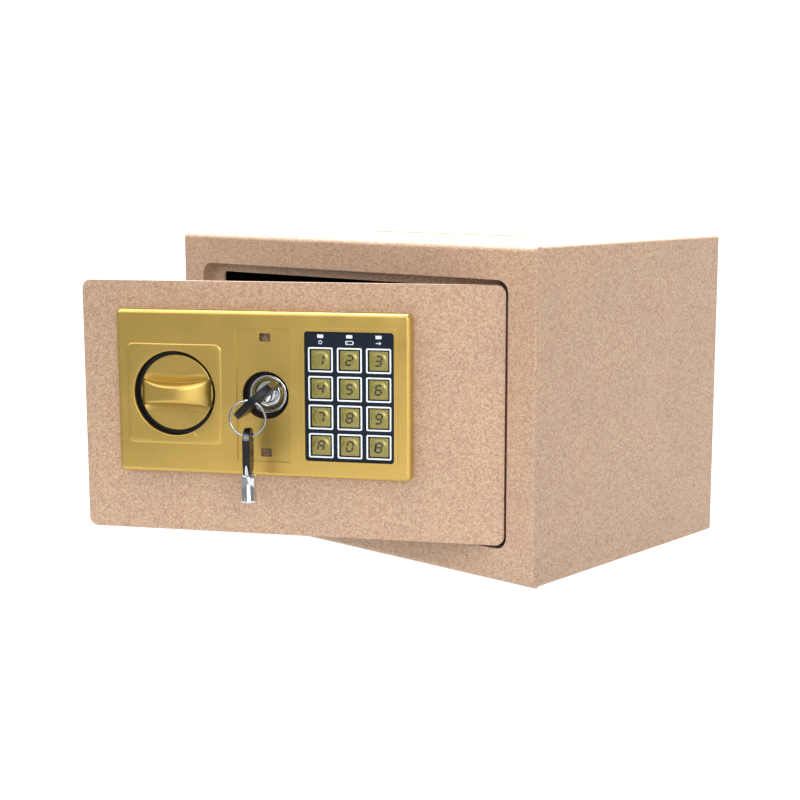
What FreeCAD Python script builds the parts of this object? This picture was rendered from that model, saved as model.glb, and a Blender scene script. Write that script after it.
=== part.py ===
import FreeCAD
import Part
import math
import os

from FreeCAD import Matrix, Placement, Rotation, Vector

# In room safe, 310 x 200 x 200 mm. Row frame: origin at the centre of the cabinet's base,
# +X to the right seen from the front, +Y to the back, +Z up. Millimetres throughout.
# Everything on the door is laid out with the door shut and is then swung to the rest angle.

# cabinet
cabinet_width = 310.0
cabinet_depth = 200.0
cabinet_height = 200.0
front_y = -cabinet_depth / 2
back_y = cabinet_depth / 2
wrap_wall = 1.5
wrap_radius = 2.0
wrap_inner_radius = 0.7
frame_sheet = 2.0
frame_lip = 5.0
frame_bullnose = 3.5
frame_side_radius = 1.2
opening_width = 270.0
opening_bottom = 20.0
opening_top = 180.0
opening_radius = 8.0
stop_y = front_y + 10.0
stop_sheet = 1.5
stop_half_width = 124.5
stop_bottom = 26.0
stop_top = 174.0
stop_radius = 3.0
anchor_spacing = 200.0
anchor_radius = 4.5
rear_anchor_z = 100.0
slot_length = 149.0
slot_width = 8.0
slot_x = -6.5
slot_y = 8.0
slot_corner = 3.5
mat_thickness = 2.5
mat_margin = 1.0
mat_cut_radius = 10.0
mat_front_gap = 4.0

# door slab and hinge
door_width = 263.5
door_left = -133.8
door_right = door_left + door_width
door_bottom = 22.0
door_top = 177.0
door_plate_thickness = 4.0
door_radius = 5.5
door_rest_angle = 30.0
plate_back_y = front_y + door_plate_thickness
hinge_inset = 2.5
hinge_setback = 5.0
hinge_x = door_right - hinge_inset
hinge_y = front_y + hinge_setback
hinge_pin_radius = 2.0
hinge_bush_bore = 2.05
hinge_bush_radius = 2.6
hinge_flange_radius = 3.0
upper_flange = 1.0
lower_flange = 1.8
lug_half = 3.0
lug_relief = 1.0
lug_height = 12.0

# lock panel on the front of the door
bezel_left = door_left + 25.0
bezel_width = 184.0
bezel_bottom = 60.0
bezel_top = 160.0
bezel_height = 9.0
bezel_wall = 2.5
bezel_radius = 3.0
bezel_rim_fillet = 2.6
bezel_inner_radius = 1.0
knob_x = door_left + 62.0
lock_x = door_left + 119.5
pad_x = door_left + 171.6
knob_z = 109.2
lock_z = 109.5
pad_z = 109.8
well_radius = 26.0
well_floor = 1.0
well_opening_radius = 8.5
moulded_wall = 1.5
skin_gap = 0.5
recess_width = 33.0
recess_height = 81.0
recess_depth = 1.0
recess_corner = 1.0
recess_x = door_left + 117.9
clip_slot_width = 6.8
clip_slot_height = 5.0
clip_slot_rise = 35.0
clip_slot_corner = 0.3
lock_hole_radius = 14.5
bezel_boss_dx = 80.0
bezel_boss_dz = 42.0
bezel_boss_radius = 3.5
bezel_screw_radius = 1.5
bezel_screw_head = 3.0
bezel_screw_head_height = 2.0

# keypad
overlay_width = 54.6
overlay_height = 78.2
overlay_low = 6.5
overlay_high = 8.0
overlay_corner = 2.0
pocket_ledge = 1.5
pocket_top_ledge = 6.5
pocket_corner = 1.0
bead_width = 2.2
bead_rise = 0.7
bead_corner = 3.0
key_size = 11.5
key_window = 12.0
key_window_corner = 0.6
key_corner = 0.8
key_foot_corner = 1.0
key_flange = 13.4
key_pitch_x = 17.75
key_pitch_z = 17.27
key_low = 4.4
key_high = 8.4
key_top_row_z = 131.9
lamp_z = 146.0
lamp_width = 3.8
lamp_height = 2.1
lamp_proud = 0.1
board_low = 2.0
board_high = 3.6
pad_board_half = 25.5
pad_board_below = 37.0
pad_board_above = 32.0
pad_board_corner = 1.0
cable_z = 128.0

# knob, spindle and bolt work
knob_radius = 23.25
knob_low = 1.3
knob_face = 5.3
grip_inset = 0.6
grip_crown = 14.5
grip_arch_radius = 34.7
spindle_socket = 4.0
spindle_proud = 0.5
grip_waist = 6.3
grip_end = 9.5
spindle_radius = 4.0
bush_bore = 4.05
bush_radius = 6.0
bush_flange_radius = 8.0
bush_flange = 1.0
bush_proud = 2.0
crank_radius = 10.0
crank_hub_radius = 7.0
crank_arm_half = 4.5
crank_angle = 45.0
crank_low_y = -92.0
crank_high_y = -88.0
crank_pin_radius = 2.5
crank_pin_end_y = -80.0
crank_slot_radius = 3.0
crank_slot_spare = 1.0
carriage_low_y = -86.0
carriage_high_y = -84.0
carriage_left = -93.0
carriage_right = -47.0
carriage_bottom = 66.0
carriage_top = 154.0
carriage_corner = 3.0
bolt_throw = 14.1
bolt_radius = 6.0
bolt_y = -79.0
bolt_spread = 35.0
bolt_tip_x = -121.5
bolt_end_x = -75.0
bolt_bore = 6.05
bolt_chamfer = 1.0
guide_x = -110.0
guide_sheet = 2.0
guide_foot = 9.5
guide_foot_sheet = 1.5
guide_margin = 10.0
guide_edge = 4.0
guide_notch_radius = 3.6
stud_x = -69.0
stud_neck = 3.0
stud_head = 5.0
stud_head_height = 2.0
stud_slot_radius = 3.3

# solenoid that blocks the bolt carriage
plunger_x = lock_x - 24.4
plunger_y = -85.0
plunger_radius = 4.0
plunger_bore = 4.1
plunger_low_z = 48.0
plunger_tip_z = 83.7
coil_radius = 9.0
coil_low_z = 41.0
coil_high_z = 63.0
yoke_sheet = 1.5
yoke_half = 10.5
coil_floor = 1.5
spring_outer = 5.6
spring_inner = 4.4
arm_bottom = 84.0
arm_top = 92.0
arm_reach = 10.5
notch_half = 4.6
notch_height = 4.8
pin_z = 79.0
tab_pin_radius = 1.25
pin_root = 3.0
pin_proud = 1.5
pin_clear = 0.1

# cylinder lock and keys
lock_head_radius = 12.3
lock_head_height = 3.3
lock_head_chamfer = 0.6
lock_dish_radius = 9.9
lock_dish_depth = 1.2
lock_nut_radius = 14.5
lock_nut_height = 4.5
lock_body_radius = 9.5
lock_back_y = -79.0
plug_radius = 7.7
plug_bore = 7.75
plug_face = 2.8
plug_groove_outer = 4.85
plug_groove_inner = 3.2
plug_groove_depth = 11.5
cam_length = 41.0
cam_rest_angle = 133.5
cam_half_width = 3.5
cam_low_y = -78.7
cam_high_y = -76.7
cam_hub_radius = 8.0
tail_half = 3.0
cam_screw_head = 4.5
cam_screw_height = 2.2
key_hole_height = 34.0
bow_length = 27.0
bow_width = 28.0
bow_thickness = 4.3
bow_shoulder = 17.0
bow_hole_inset = 4.7
bow_hole_radius = 2.8
bow_side_rise = 9.0
bow_crown = 5.0
bow_flare_inset = 1.2
bow_flare_rise = 3.6
barrel_radius = 4.7
barrel_bore = 3.4
barrel_length = 18.5
barrel_end_wall = 2.0
tang_length = 9.0
tang_thickness = 1.8
bow_turn = 42.0
ring_radius = 10.4
ring_wire = 0.7
ring_turn = 13.0
ring_offset = 2.9

# cover on the back of the door, with the electronics
cover_left = -116.0
cover_right = 98.0
cover_bottom = 34.0
cover_top = 168.0
cover_back_y = -62.0
cover_sheet = 1.2
post_radius = 4.0
post_inset = 7.0
cover_screw_radius = 2.0
cover_screw_head = 3.8
cover_screw_head_height = 2.2
cover_screw_length = 9.0
bolt_clearance = 0.8
cover_window_margin = 3.0
holder_left = 14.0
holder_right = 80.0
holder_bottom = 40.0
holder_top = 100.0
holder_front_y = -80.0
holder_wall = 1.5
cell_radius = 7.1
cell_length = 49.5
cell_pitch = 14.7
cell_clear = 0.1
cell_cap_radius = 2.7
cell_cap_height = 1.2
contact_half = 5.0
contact_sheet = 0.5
lid_gap = 0.3
lid_thickness = 2.0
lid_pin_radius = 0.8
lid_pin_clear = 0.08
lid_inset = 1.0
ear_width = 2.0
ear_radius = 1.6
pull_left = 44.0
pull_right = 50.0
pull_bottom = 43.0
pull_height = 2.0
pull_proud = 1.5
board_front_y = -70.6
board_back_y = -69.0
board_left = -2.0
board_right = 80.0
board_bottom = 106.0
board_top = 160.0
board_corner = 1.5
mount_inset = 5.0
mount_radius = 2.5
chip_left, chip_right, chip_bottom, chip_top, chip_height = 30.0, 46.0, 138.0, 148.0, 2.2
relay_left, relay_right, relay_bottom, relay_top, relay_height = 14.0, 26.0, 112.0, 121.0, 8.0
buzzer_x, buzzer_z, buzzer_radius, buzzer_height = 64.0, 146.0, 6.0, 9.0
socket_height = 5.0
battery_socket_left, battery_socket_right, battery_socket_bottom, battery_socket_top = 60.0, 70.0, 110.0, 115.0
pad_socket_half, pad_socket_bottom, pad_socket_top = 8.0, 115.5, 120.5
switch_half = 3.0
switch_height = 1.2
reset_travel = 1.8
reset_foot = 1.2
reset_foot_flare = 1.5
reset_proud = 1.5
cable_radius = 2.0
cable_drop = 10.0
lead_radius = 1.0
reset_x = 8.0
reset_z = 130.0
reset_radius = 3.0
fit_gap = 0.3


def box(x0, x1, y0, y1, z0, z1):
    return Part.makeBox(x1 - x0, y1 - y0, z1 - z0, Vector(x0, y0, z0))


def rod_x(y, z, x0, x1, radius):
    return Part.makeCylinder(radius, x1 - x0, Vector(x0, y, z), Vector(1, 0, 0))


def rod_y(x, z, y0, y1, radius):
    return Part.makeCylinder(radius, y1 - y0, Vector(x, y0, z), Vector(0, 1, 0))


def rod_z(x, y, z0, z1, radius):
    return Part.makeCylinder(radius, z1 - z0, Vector(x, y, z0), Vector(0, 0, 1))


def rounded_slab(x0, x1, y0, y1, z0, z1, radius):
    """Slab with its four edges along Y rounded."""
    slab = box(x0, x1, y0, y1, z0, z1)
    edges = [edge for edge in slab.Edges
             if abs(edge.Vertexes[0].X - edge.Vertexes[-1].X) < 0.01
             and abs(edge.Vertexes[0].Z - edge.Vertexes[-1].Z) < 0.01]
    return slab.makeFillet(radius, edges)


def front_slab(x0, x1, low, high, z0, z1, radius):
    """Rounded slab on the door's front, low and high being heights above the door face."""
    return rounded_slab(x0, x1, front_y - high, front_y - low, z0, z1, radius)


def front_rod(x, z, low, high, radius):
    return rod_y(x, z, front_y - high, front_y - low, radius)


def obround_x(x0, x1, z, y0, y1, radius):
    """Slot along X with round ends centred at x0 and x1."""
    ends = rod_y(x0, z, y0, y1, radius).fuse(rod_y(x1, z, y0, y1, radius))
    return ends.fuse(box(x0, x1, y0, y1, z - radius, z + radius)).removeSplitter()


def edges_at(shape, test):
    return [edge for edge in shape.Edges if test(edge.BoundBox)]


def join(first, *others):
    return first.fuse(list(others)).removeSplitter()


def group(*solids):
    return Part.makeCompound([solid for shape in solids for solid in shape.Solids])


def swing(shape):
    """Turn a shape of the shut door to the rest angle about the hinge pins."""
    turned = shape.copy()
    turned.rotate(Vector(hinge_x, hinge_y, 0), Vector(0, 0, 1), door_rest_angle)
    return turned


def save(name, shape):
    for solid in shape.Solids:
        if not solid.isValid():
            raise ValueError(name + " has an invalid solid")
    shape.exportStep("parts/" + name + ".step")
    box_now = shape.BoundBox
    print(name, len(shape.Solids), round(shape.Volume, 1), [round(value, 1) for value in (
        box_now.XMin, box_now.XMax, box_now.YMin, box_now.YMax, box_now.ZMin, box_now.ZMax)])


def save_on_door(name, shape):
    save(name, swing(shape))


def tube(points, radius):
    """Round tube along straight runs joined by tangent arcs."""
    points = [Vector(*point) for point in points]
    runs = [(b - a).Length for a, b in zip(points, points[1:])]
    edges = []
    start = points[0]
    for index in range(1, len(points) - 1):
        corner = points[index]
        back = (points[index - 1] - corner).normalize()
        ahead = (points[index + 1] - corner).normalize()
        half_turn = (math.pi - back.getAngle(ahead)) / 2
        trim = 0.45 * min(runs[index - 1], runs[index])
        bend = trim / math.tan(half_turn)
        bisector = (back + ahead).normalize()
        middle = corner + bisector * (bend / math.cos(half_turn) - bend)
        first, last = corner + back * trim, corner + ahead * trim
        edges.append(Part.LineSegment(start, first).toShape())
        edges.append(Part.Arc(first, middle, last).toShape())
        start = last
        print("  bend radius", round(bend, 1))
    edges.append(Part.LineSegment(start, points[-1]).toShape())
    path = Part.Wire(edges)
    direction = points[1] - points[0]
    profile = Part.Wire([Part.makeCircle(radius, points[0], direction)])
    swept = path.makePipeShell([profile], True, True)
    print("  tube volume ratio", round(swept.Volume / (math.pi * radius ** 2 * path.Length), 4))
    return swept


# cabinet

def cabinet_wrap():
    """Four walls of one folded sheet, with the deposit slot and the floor anchor holes."""
    half = cabinet_width / 2
    y0 = front_y + frame_lip
    y1 = back_y - frame_sheet
    outer = rounded_slab(-half, half, y0, y1, 0, cabinet_height, wrap_radius)
    inner = rounded_slab(-half + wrap_wall, half - wrap_wall, y0, y1, wrap_wall,
                         cabinet_height - wrap_wall, wrap_inner_radius)
    slot = box(slot_x - slot_length / 2, slot_x + slot_length / 2, slot_y - slot_width / 2,
               slot_y + slot_width / 2, cabinet_height - 2 * wrap_wall, cabinet_height + wrap_wall)
    corners = edges_at(slot, lambda b: b.ZLength > wrap_wall and b.XLength < 0.01 and b.YLength < 0.01)
    slot = slot.makeFillet(slot_corner, corners)
    wrap = outer.cut(inner).cut(slot)
    for side in (-1, 1):
        wrap = wrap.cut(rod_z(side * anchor_spacing / 2, 0, -wrap_wall, 2 * wrap_wall, anchor_radius))
    return wrap


def front_frame():
    """Pressed frame: border with a rounded lip, recess walls and the stop flange behind them."""
    half = cabinet_width / 2
    blank = box(-half, half, front_y, front_y + frame_lip, 0, cabinet_height)
    sides = edges_at(blank, lambda b: b.ZLength > cabinet_height / 2 and b.YMax < front_y + 1)
    level = edges_at(blank, lambda b: b.XLength > cabinet_width / 2 and b.YMax < front_y + 1)
    border = blank.makeFillet(frame_side_radius, sides).common(blank.makeFillet(frame_bullnose, level))
    hollow = box(-half + frame_sheet, half - frame_sheet, front_y + frame_sheet,
                 front_y + frame_lip + 1, frame_sheet, cabinet_height - frame_sheet)
    border = border.cut(hollow)
    sheet = frame_sheet
    mouth = rounded_slab(-opening_width / 2, opening_width / 2, front_y - 1, stop_y,
                         opening_bottom, opening_top, opening_radius)
    sleeve = rounded_slab(-opening_width / 2 - sheet, opening_width / 2 + sheet, front_y + sheet,
                          stop_y + stop_sheet, opening_bottom - sheet, opening_top + sheet,
                          opening_radius + sheet)
    inner = rounded_slab(-stop_half_width, stop_half_width, stop_y - 1, stop_y + 2 * stop_sheet,
                         stop_bottom, stop_top, stop_radius)
    frame = join(border, sleeve).cut(mouth).cut(inner)
    for edge_z, up in ((opening_bottom, -1), (opening_top, 1)):
        low, high = sorted((edge_z, edge_z + 2 * sheet * up))
        frame = frame.cut(rod_z(hinge_x, hinge_y, low, high, hinge_bush_radius))
        low, high = sorted((edge_z, edge_z - sheet * up))
        frame = frame.cut(rod_z(hinge_x, hinge_y, low, high, hinge_flange_radius))
    return frame


def rear_panel():
    half = cabinet_width / 2
    panel = rounded_slab(-half, half, back_y - frame_sheet, back_y, 0, cabinet_height, wrap_radius)
    for side in (-1, 1):
        hole = rod_y(side * anchor_spacing / 2, rear_anchor_z, back_y - 2 * frame_sheet,
                     back_y + frame_sheet, anchor_radius)
        panel = panel.cut(hole)
    return panel


def hinge_bush(opening_z, up):
    """Flanged bush in the recess wall; up is +1 for the one above the door."""
    sheet = frame_sheet * up
    flange = upper_flange if up > 0 else lower_flange
    low, high = sorted((opening_z - flange * up, opening_z))
    neck_low, neck_high = sorted((opening_z, opening_z + sheet))
    bush = join(rod_z(hinge_x, hinge_y, low, high, hinge_flange_radius),
                rod_z(hinge_x, hinge_y, neck_low, neck_high, hinge_bush_radius))
    bore = rod_z(hinge_x, hinge_y, min(low, neck_low) - 1, max(high, neck_high) + 1, hinge_bush_bore)
    return bush.cut(bore)


def floor_mat():
    half = cabinet_width / 2 - wrap_wall - mat_margin
    mat = box(-half, half, stop_y + stop_sheet + mat_front_gap, back_y - frame_sheet - mat_margin, wrap_wall,
              wrap_wall + mat_thickness)
    for side in (-1, 1):
        mat = mat.cut(rod_z(side * anchor_spacing / 2, 0, 0, 2 * mat_thickness + wrap_wall, mat_cut_radius))
    return mat


# door

def bezel_bosses():
    centre_x = bezel_left + bezel_width / 2
    centre_z = (bezel_bottom + bezel_top) / 2
    return [(centre_x + i * bezel_boss_dx, centre_z + k * bezel_boss_dz) for i in (-1, 1) for k in (-1, 1)]


def door_plate():
    plate = rounded_slab(door_left, door_right, front_y, plate_back_y, door_bottom, door_top, door_radius)
    holes = [rod_y(knob_x, knob_z, front_y - 1, plate_back_y + 1, bush_radius),
             rod_y(lock_x, lock_z, front_y - 1, plate_back_y + 1, lock_body_radius),
             rod_y(pad_x, cable_z, front_y - 1, plate_back_y + 1, bush_radius)]
    for x, z in bezel_bosses():
        holes.append(rod_y(x, z, front_y - 1, plate_back_y + 1, bezel_screw_radius))
    return plate.cut(holes)


def hinge_pin(edge_z, up):
    """Pin with a square root that is welded to the back of the door plate."""
    root_low, root_high = sorted((edge_z, edge_z - up * lug_height))
    tip = opening_top + frame_sheet if up > 0 else opening_bottom - frame_sheet
    pin_low, pin_high = sorted((edge_z, tip))
    root = box(hinge_x - lug_half, hinge_x + lug_half - lug_relief, plate_back_y, hinge_y + lug_half, root_low, root_high)
    pin = rod_z(hinge_x, hinge_y, pin_low, pin_high, hinge_pin_radius)
    shank = rod_z(hinge_x, hinge_y, root_low, root_high, hinge_pin_radius)
    shank = shank.cut(box(hinge_x - lug_half, hinge_x + lug_half, hinge_y - lug_half, plate_back_y, root_low - 1, root_high + 1))
    return join(root, shank, pin)


def lock_bezel():
    """Moulded panel with the knob well, the recess round the lock, and the keypad pocket."""
    right = bezel_left + bezel_width
    shell = front_slab(bezel_left, right, 0, bezel_height, bezel_bottom, bezel_top, bezel_radius)
    rim = edges_at(shell, lambda b: b.YMax < front_y - bezel_height + 0.01)
    shell = shell.makeFillet(bezel_rim_fillet, rim)
    wall = bezel_wall
    inside = front_slab(bezel_left + wall, right - wall, -1, bezel_height - wall, bezel_bottom + wall,
                        bezel_top - wall, bezel_inner_radius)
    shell = shell.cut(inside)
    tubes = [front_rod(knob_x, knob_z, 0, bezel_height - skin_gap, well_radius + moulded_wall),
             front_rod(lock_x, lock_z, 0, bezel_height - recess_depth - skin_gap, lock_hole_radius + moulded_wall)]
    tubes += [front_rod(x, z, 0, bezel_height - wall + skin_gap, bezel_boss_radius) for x, z in bezel_bosses()]
    shell = join(shell, *tubes)
    shell = shell.cut(front_rod(knob_x, knob_z, well_floor, bezel_height + 1, well_radius))
    shell = shell.cut(front_rod(knob_x, knob_z, -1, 2 * well_floor, well_opening_radius))
    shell = shell.cut(front_slab(recess_x - recess_width / 2, recess_x + recess_width / 2,
                                 bezel_height - recess_depth, bezel_height + 1, lock_z - recess_height / 2,
                                 lock_z + recess_height / 2, recess_corner))
    shell = shell.cut(front_rod(lock_x, lock_z, -1, bezel_height + 1, lock_hole_radius))
    for side in (-1, 1):
        z = lock_z + side * clip_slot_rise
        shell = shell.cut(front_slab(lock_x - clip_slot_width / 2, lock_x + clip_slot_width / 2, -1,
                                     bezel_height + 1, z - clip_slot_height / 2, z + clip_slot_height / 2, clip_slot_corner))
    outer_x = overlay_width / 2 + bead_width
    outer_z = overlay_height / 2 + bead_width
    bead = front_slab(pad_x - outer_x, pad_x + outer_x, bezel_height - wall, bezel_height + bead_rise,
                      pad_z - outer_z, pad_z + outer_z, bead_corner)
    shell = join(shell, bead)
    shell = shell.cut(front_slab(pad_x - overlay_width / 2, pad_x + overlay_width / 2, overlay_low,
                                 bezel_height + 2, pad_z - overlay_height / 2, pad_z + overlay_height / 2, overlay_corner))
    shell = shell.cut(front_slab(pad_x - overlay_width / 2 + pocket_ledge,
                                 pad_x + overlay_width / 2 - pocket_ledge, 0, bezel_height,
                                 pad_z - overlay_height / 2 + pocket_ledge,
                                 pad_z + overlay_height / 2 - pocket_top_ledge, pocket_corner))
    for x, z in bezel_bosses():
        shell = shell.cut(front_rod(x, z, -1, bezel_height - wall, bezel_screw_radius))
    return shell


def key_places():
    """Name, x and z of each keypad button, from the top left."""
    names = ("1", "2", "3", "4", "5", "6", "7", "8", "9", "a", "0", "b")
    places = []
    for index, name in enumerate(names):
        row, column = divmod(index, 3)
        places.append((name, pad_x + (column - 1) * key_pitch_x, key_top_row_z - row * key_pitch_z))
    return places


def lamp_places():
    return [(pad_x + step * key_pitch_x, lamp_z) for step in (-1, 0, 1)]


def keypad_overlay():
    plate = front_slab(pad_x - overlay_width / 2, pad_x + overlay_width / 2, overlay_low, overlay_high,
                       pad_z - overlay_height / 2, pad_z + overlay_height / 2, overlay_corner)
    half = key_window / 2
    for _, x, z in key_places():
        plate = plate.cut(front_slab(x - half, x + half, overlay_low - 1, overlay_high + 1, z - half, z + half, key_window_corner))
    for x, z in lamp_places():
        plate = plate.cut(box(x - lamp_width / 2, x + lamp_width / 2, front_y - overlay_high - 1,
                              front_y - overlay_low + 1, z - lamp_height / 2, z + lamp_height / 2))
    return plate


def indicator_lights():
    return group(*[box(x - lamp_width / 2, x + lamp_width / 2, front_y - overlay_high - lamp_proud,
                       front_y - overlay_low, z - lamp_height / 2, z + lamp_height / 2)
                   for x, z in lamp_places()])


def keypad_button(x, z):
    half = key_size / 2
    flange = key_flange / 2
    cap = front_slab(x - half, x + half, overlay_low - fit_gap, key_high, z - half, z + half, key_corner)
    foot = front_slab(x - flange, x + flange, key_low, overlay_low - fit_gap, z - flange, z + flange, key_foot_corner)
    return join(cap, foot)


def keypad_board():
    return front_slab(pad_x - pad_board_half, pad_x + pad_board_half, board_low, board_high,
                      pad_z - pad_board_below, pad_z + pad_board_above, pad_board_corner)


def knob_bush():
    bush = join(front_rod(knob_x, knob_z, 0, bush_flange, bush_flange_radius),
                rod_y(knob_x, knob_z, front_y, plate_back_y + bush_proud, bush_radius))
    return bush.cut(rod_y(knob_x, knob_z, front_y - 2 * bush_flange, plate_back_y + 2 * bush_proud, bush_bore))


def turn_knob():
    """Disc with an arched grip across it, narrow in the middle."""
    disc = front_rod(knob_x, knob_z, knob_low, knob_face, knob_radius)
    inner = knob_radius - grip_inset

    def at(x, z):
        return Vector(knob_x + x, front_y - knob_face, knob_z + z)

    top = Part.Arc(at(-inner, grip_end), at(0, grip_waist), at(inner, grip_end)).toShape()
    right = Part.LineSegment(at(inner, grip_end), at(inner, -grip_end)).toShape()
    bottom = Part.Arc(at(inner, -grip_end), at(0, -grip_waist), at(-inner, -grip_end)).toShape()
    left = Part.LineSegment(at(-inner, -grip_end), at(-inner, grip_end)).toShape()
    grip = Part.Face(Part.Wire([top, right, bottom, left])).extrude(Vector(0, knob_face - grip_crown, 0))
    grip = grip.common(front_rod(knob_x, knob_z, knob_face, grip_crown, inner))
    arch_y = front_y - grip_crown + grip_arch_radius
    grip = grip.common(rod_z(knob_x, arch_y, knob_z - knob_radius, knob_z + knob_radius, grip_arch_radius))
    knob = join(disc, grip)
    return knob.cut(front_rod(knob_x, knob_z, knob_low - 1, spindle_socket, spindle_radius))


def knob_spindle():
    return rod_y(knob_x, knob_z, front_y - spindle_socket, crank_high_y + spindle_proud, spindle_radius)


def crank_pin_place():
    rise = crank_radius * math.cos(math.radians(crank_angle))
    return knob_x + rise, knob_z + rise


def drive_crank():
    """Hub on the spindle with an arm and the pin that drives the carriage."""
    x, z = crank_pin_place()
    hub = rod_y(knob_x, knob_z, crank_low_y, crank_high_y, crank_hub_radius)
    end = rod_y(x, z, crank_low_y, crank_high_y, crank_arm_half)
    arm = box(knob_x, knob_x + crank_radius, crank_low_y, crank_high_y, knob_z - crank_arm_half,
              knob_z + crank_arm_half)
    arm.rotate(Vector(knob_x, 0, knob_z), Vector(0, -1, 0), crank_angle)
    pin = rod_y(x, z, crank_high_y, crank_pin_end_y, crank_pin_radius)
    return join(hub, end, arm, pin).cut(rod_y(knob_x, knob_z, crank_low_y - 1, crank_high_y + 1, spindle_radius))


def bolt_heights():
    return (knob_z - bolt_spread, knob_z + bolt_spread)


def locking_bolt(z):
    """Round bolt with a flat where it is riveted to the carriage."""
    bolt = rod_x(bolt_y, z, bolt_tip_x, bolt_end_x, bolt_radius)
    tip = edges_at(bolt, lambda b: b.XMax < bolt_tip_x + 0.1)
    bolt = bolt.makeChamfer(bolt_chamfer, tip)
    return bolt.cut(box(carriage_left - 0.2, bolt_end_x + 1, bolt_y - bolt_radius - 1, carriage_high_y,
                        z - bolt_radius - 1, z + bolt_radius + 1))


def bolt_carriage():
    y0, y1 = carriage_low_y, carriage_high_y
    plate = rounded_slab(carriage_left, carriage_right, y0, y1, carriage_bottom, carriage_top, carriage_corner)
    notch_x = plunger_x + bolt_throw
    arm = box(carriage_right - 1, notch_x + arm_reach, y0, y1, arm_bottom, arm_top)
    carriage = join(plate, arm)
    carriage = carriage.cut(box(notch_x - notch_half, notch_x + notch_half, y0 - 1, y1 + 1, arm_bottom - 1,
                                arm_bottom + notch_height))
    pin_x, pin_z_now = crank_pin_place()
    low = pin_z_now - crank_slot_spare
    high = knob_z + crank_radius + crank_slot_spare
    slot = join(rod_y(pin_x, low, y0 - 1, y1 + 1, crank_slot_radius),
                rod_y(pin_x, high, y0 - 1, y1 + 1, crank_slot_radius),
                box(pin_x - crank_slot_radius, pin_x + crank_slot_radius, y0 - 1, y1 + 1, low, high))
    carriage = carriage.cut(slot)
    for z in bolt_heights():
        carriage = carriage.cut(obround_x(stud_x, stud_x + bolt_throw, z, y0 - 1, y1 + 1, stud_slot_radius))
    return carriage


def carriage_stud(z):
    spacer = rod_y(stud_x, z, plate_back_y, carriage_low_y - fit_gap, stud_head)
    neck = rod_y(stud_x, z, carriage_low_y - fit_gap, carriage_high_y + fit_gap, stud_neck)
    head = rod_y(stud_x, z, carriage_high_y + fit_gap, carriage_high_y + stud_head_height, stud_head)
    return join(spacer, neck, head)


def bolt_guide():
    """Angle bracket whose upright leg carries both bolts."""
    low, high = bolt_heights()
    leg = box(guide_x, guide_x + guide_sheet, plate_back_y, bolt_y + bolt_radius + guide_edge,
              low - guide_margin, high + guide_margin)
    foot = box(guide_x, guide_x + guide_foot, plate_back_y, plate_back_y + guide_foot_sheet,
               low - guide_margin, high + guide_margin)
    bracket = join(leg, foot)
    for z in (low, high):
        bracket = bracket.cut(rod_x(bolt_y, z, guide_x - 1, guide_x + guide_sheet + 1, bolt_bore))
    for x, z in bezel_bosses():
        bracket = bracket.cut(rod_y(x, z, plate_back_y - 1, plate_back_y + 2 * guide_foot_sheet, guide_notch_radius))
    return bracket


def bezel_screw(x, z):
    shank = rod_y(x, z, front_y - bezel_height + bezel_wall + 1, plate_back_y, bezel_screw_radius)
    return join(shank, rod_y(x, z, plate_back_y, plate_back_y + bezel_screw_head_height, bezel_screw_head))


def solenoid_yoke():
    """U bracket round the coil, its web against the door plate."""
    sheet = yoke_sheet
    x0, x1 = plunger_x - yoke_half, plunger_x + yoke_half
    low, high = coil_low_z - sheet, coil_high_z + sheet
    y1 = plunger_y + coil_radius
    y_web = plunger_y - coil_radius
    web = box(x0, x1, y_web - sheet, y_web, low, high)
    foot = box(x0, x1, plate_back_y, y_web - sheet, low, high)
    shelves = [box(x0, x1, y_web, y1, low, coil_low_z), box(x0, x1, y_web, y1, coil_high_z, high)]
    yoke = join(web, foot, *shelves)
    return yoke.cut(rod_z(plunger_x, plunger_y, coil_high_z - 1, high + 1, plunger_bore))


def solenoid_coil():
    coil = rod_z(plunger_x, plunger_y, coil_low_z, coil_high_z, coil_radius)
    return coil.cut(rod_z(plunger_x, plunger_y, coil_low_z + coil_floor, coil_high_z + 1, plunger_bore))


def solenoid_plunger():
    rod = rod_z(plunger_x, plunger_y, plunger_low_z, plunger_tip_z, plunger_radius)
    return rod.cut(rod_y(plunger_x, pin_z, plunger_y - pin_root, plunger_y + 2 * plunger_radius,
                         tab_pin_radius))


def plunger_pin():
    return rod_y(plunger_x, pin_z, plunger_y - pin_root, cam_high_y + pin_proud, tab_pin_radius)


def solenoid_spring():
    low = coil_high_z + yoke_sheet
    high = pin_z - tab_pin_radius - pin_clear
    spring = rod_z(plunger_x, plunger_y, low, high, spring_outer)
    return spring.cut(rod_z(plunger_x, plunger_y, low - 1, high + 1, spring_inner))


def lock_cylinder():
    head = front_rod(lock_x, lock_z, 0, lock_head_height, lock_head_radius)
    head = head.makeChamfer(lock_head_chamfer, edges_at(head, lambda b: b.YMax < front_y - lock_head_height + 0.01))
    body = rod_y(lock_x, lock_z, front_y, lock_back_y, lock_body_radius)
    cylinder = join(head, body)
    cylinder = cylinder.cut(front_rod(lock_x, lock_z, lock_head_height - lock_dish_depth, lock_head_height + 1,
                                      lock_dish_radius))
    return cylinder.cut(rod_y(lock_x, lock_z, front_y - 2 * lock_head_height, lock_back_y + 1, plug_bore))


def lock_nut():
    turns = [math.radians(60 * k) for k in range(7)]
    corners = [Vector(lock_x + lock_nut_radius * math.cos(turn), plate_back_y,
                      lock_z + lock_nut_radius * math.sin(turn)) for turn in turns]
    nut = Part.Face(Part.makePolygon(corners)).extrude(Vector(0, lock_nut_height, 0))
    return nut.cut(rod_y(lock_x, lock_z, plate_back_y - 1, plate_back_y + lock_nut_height + 1, lock_body_radius))


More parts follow.
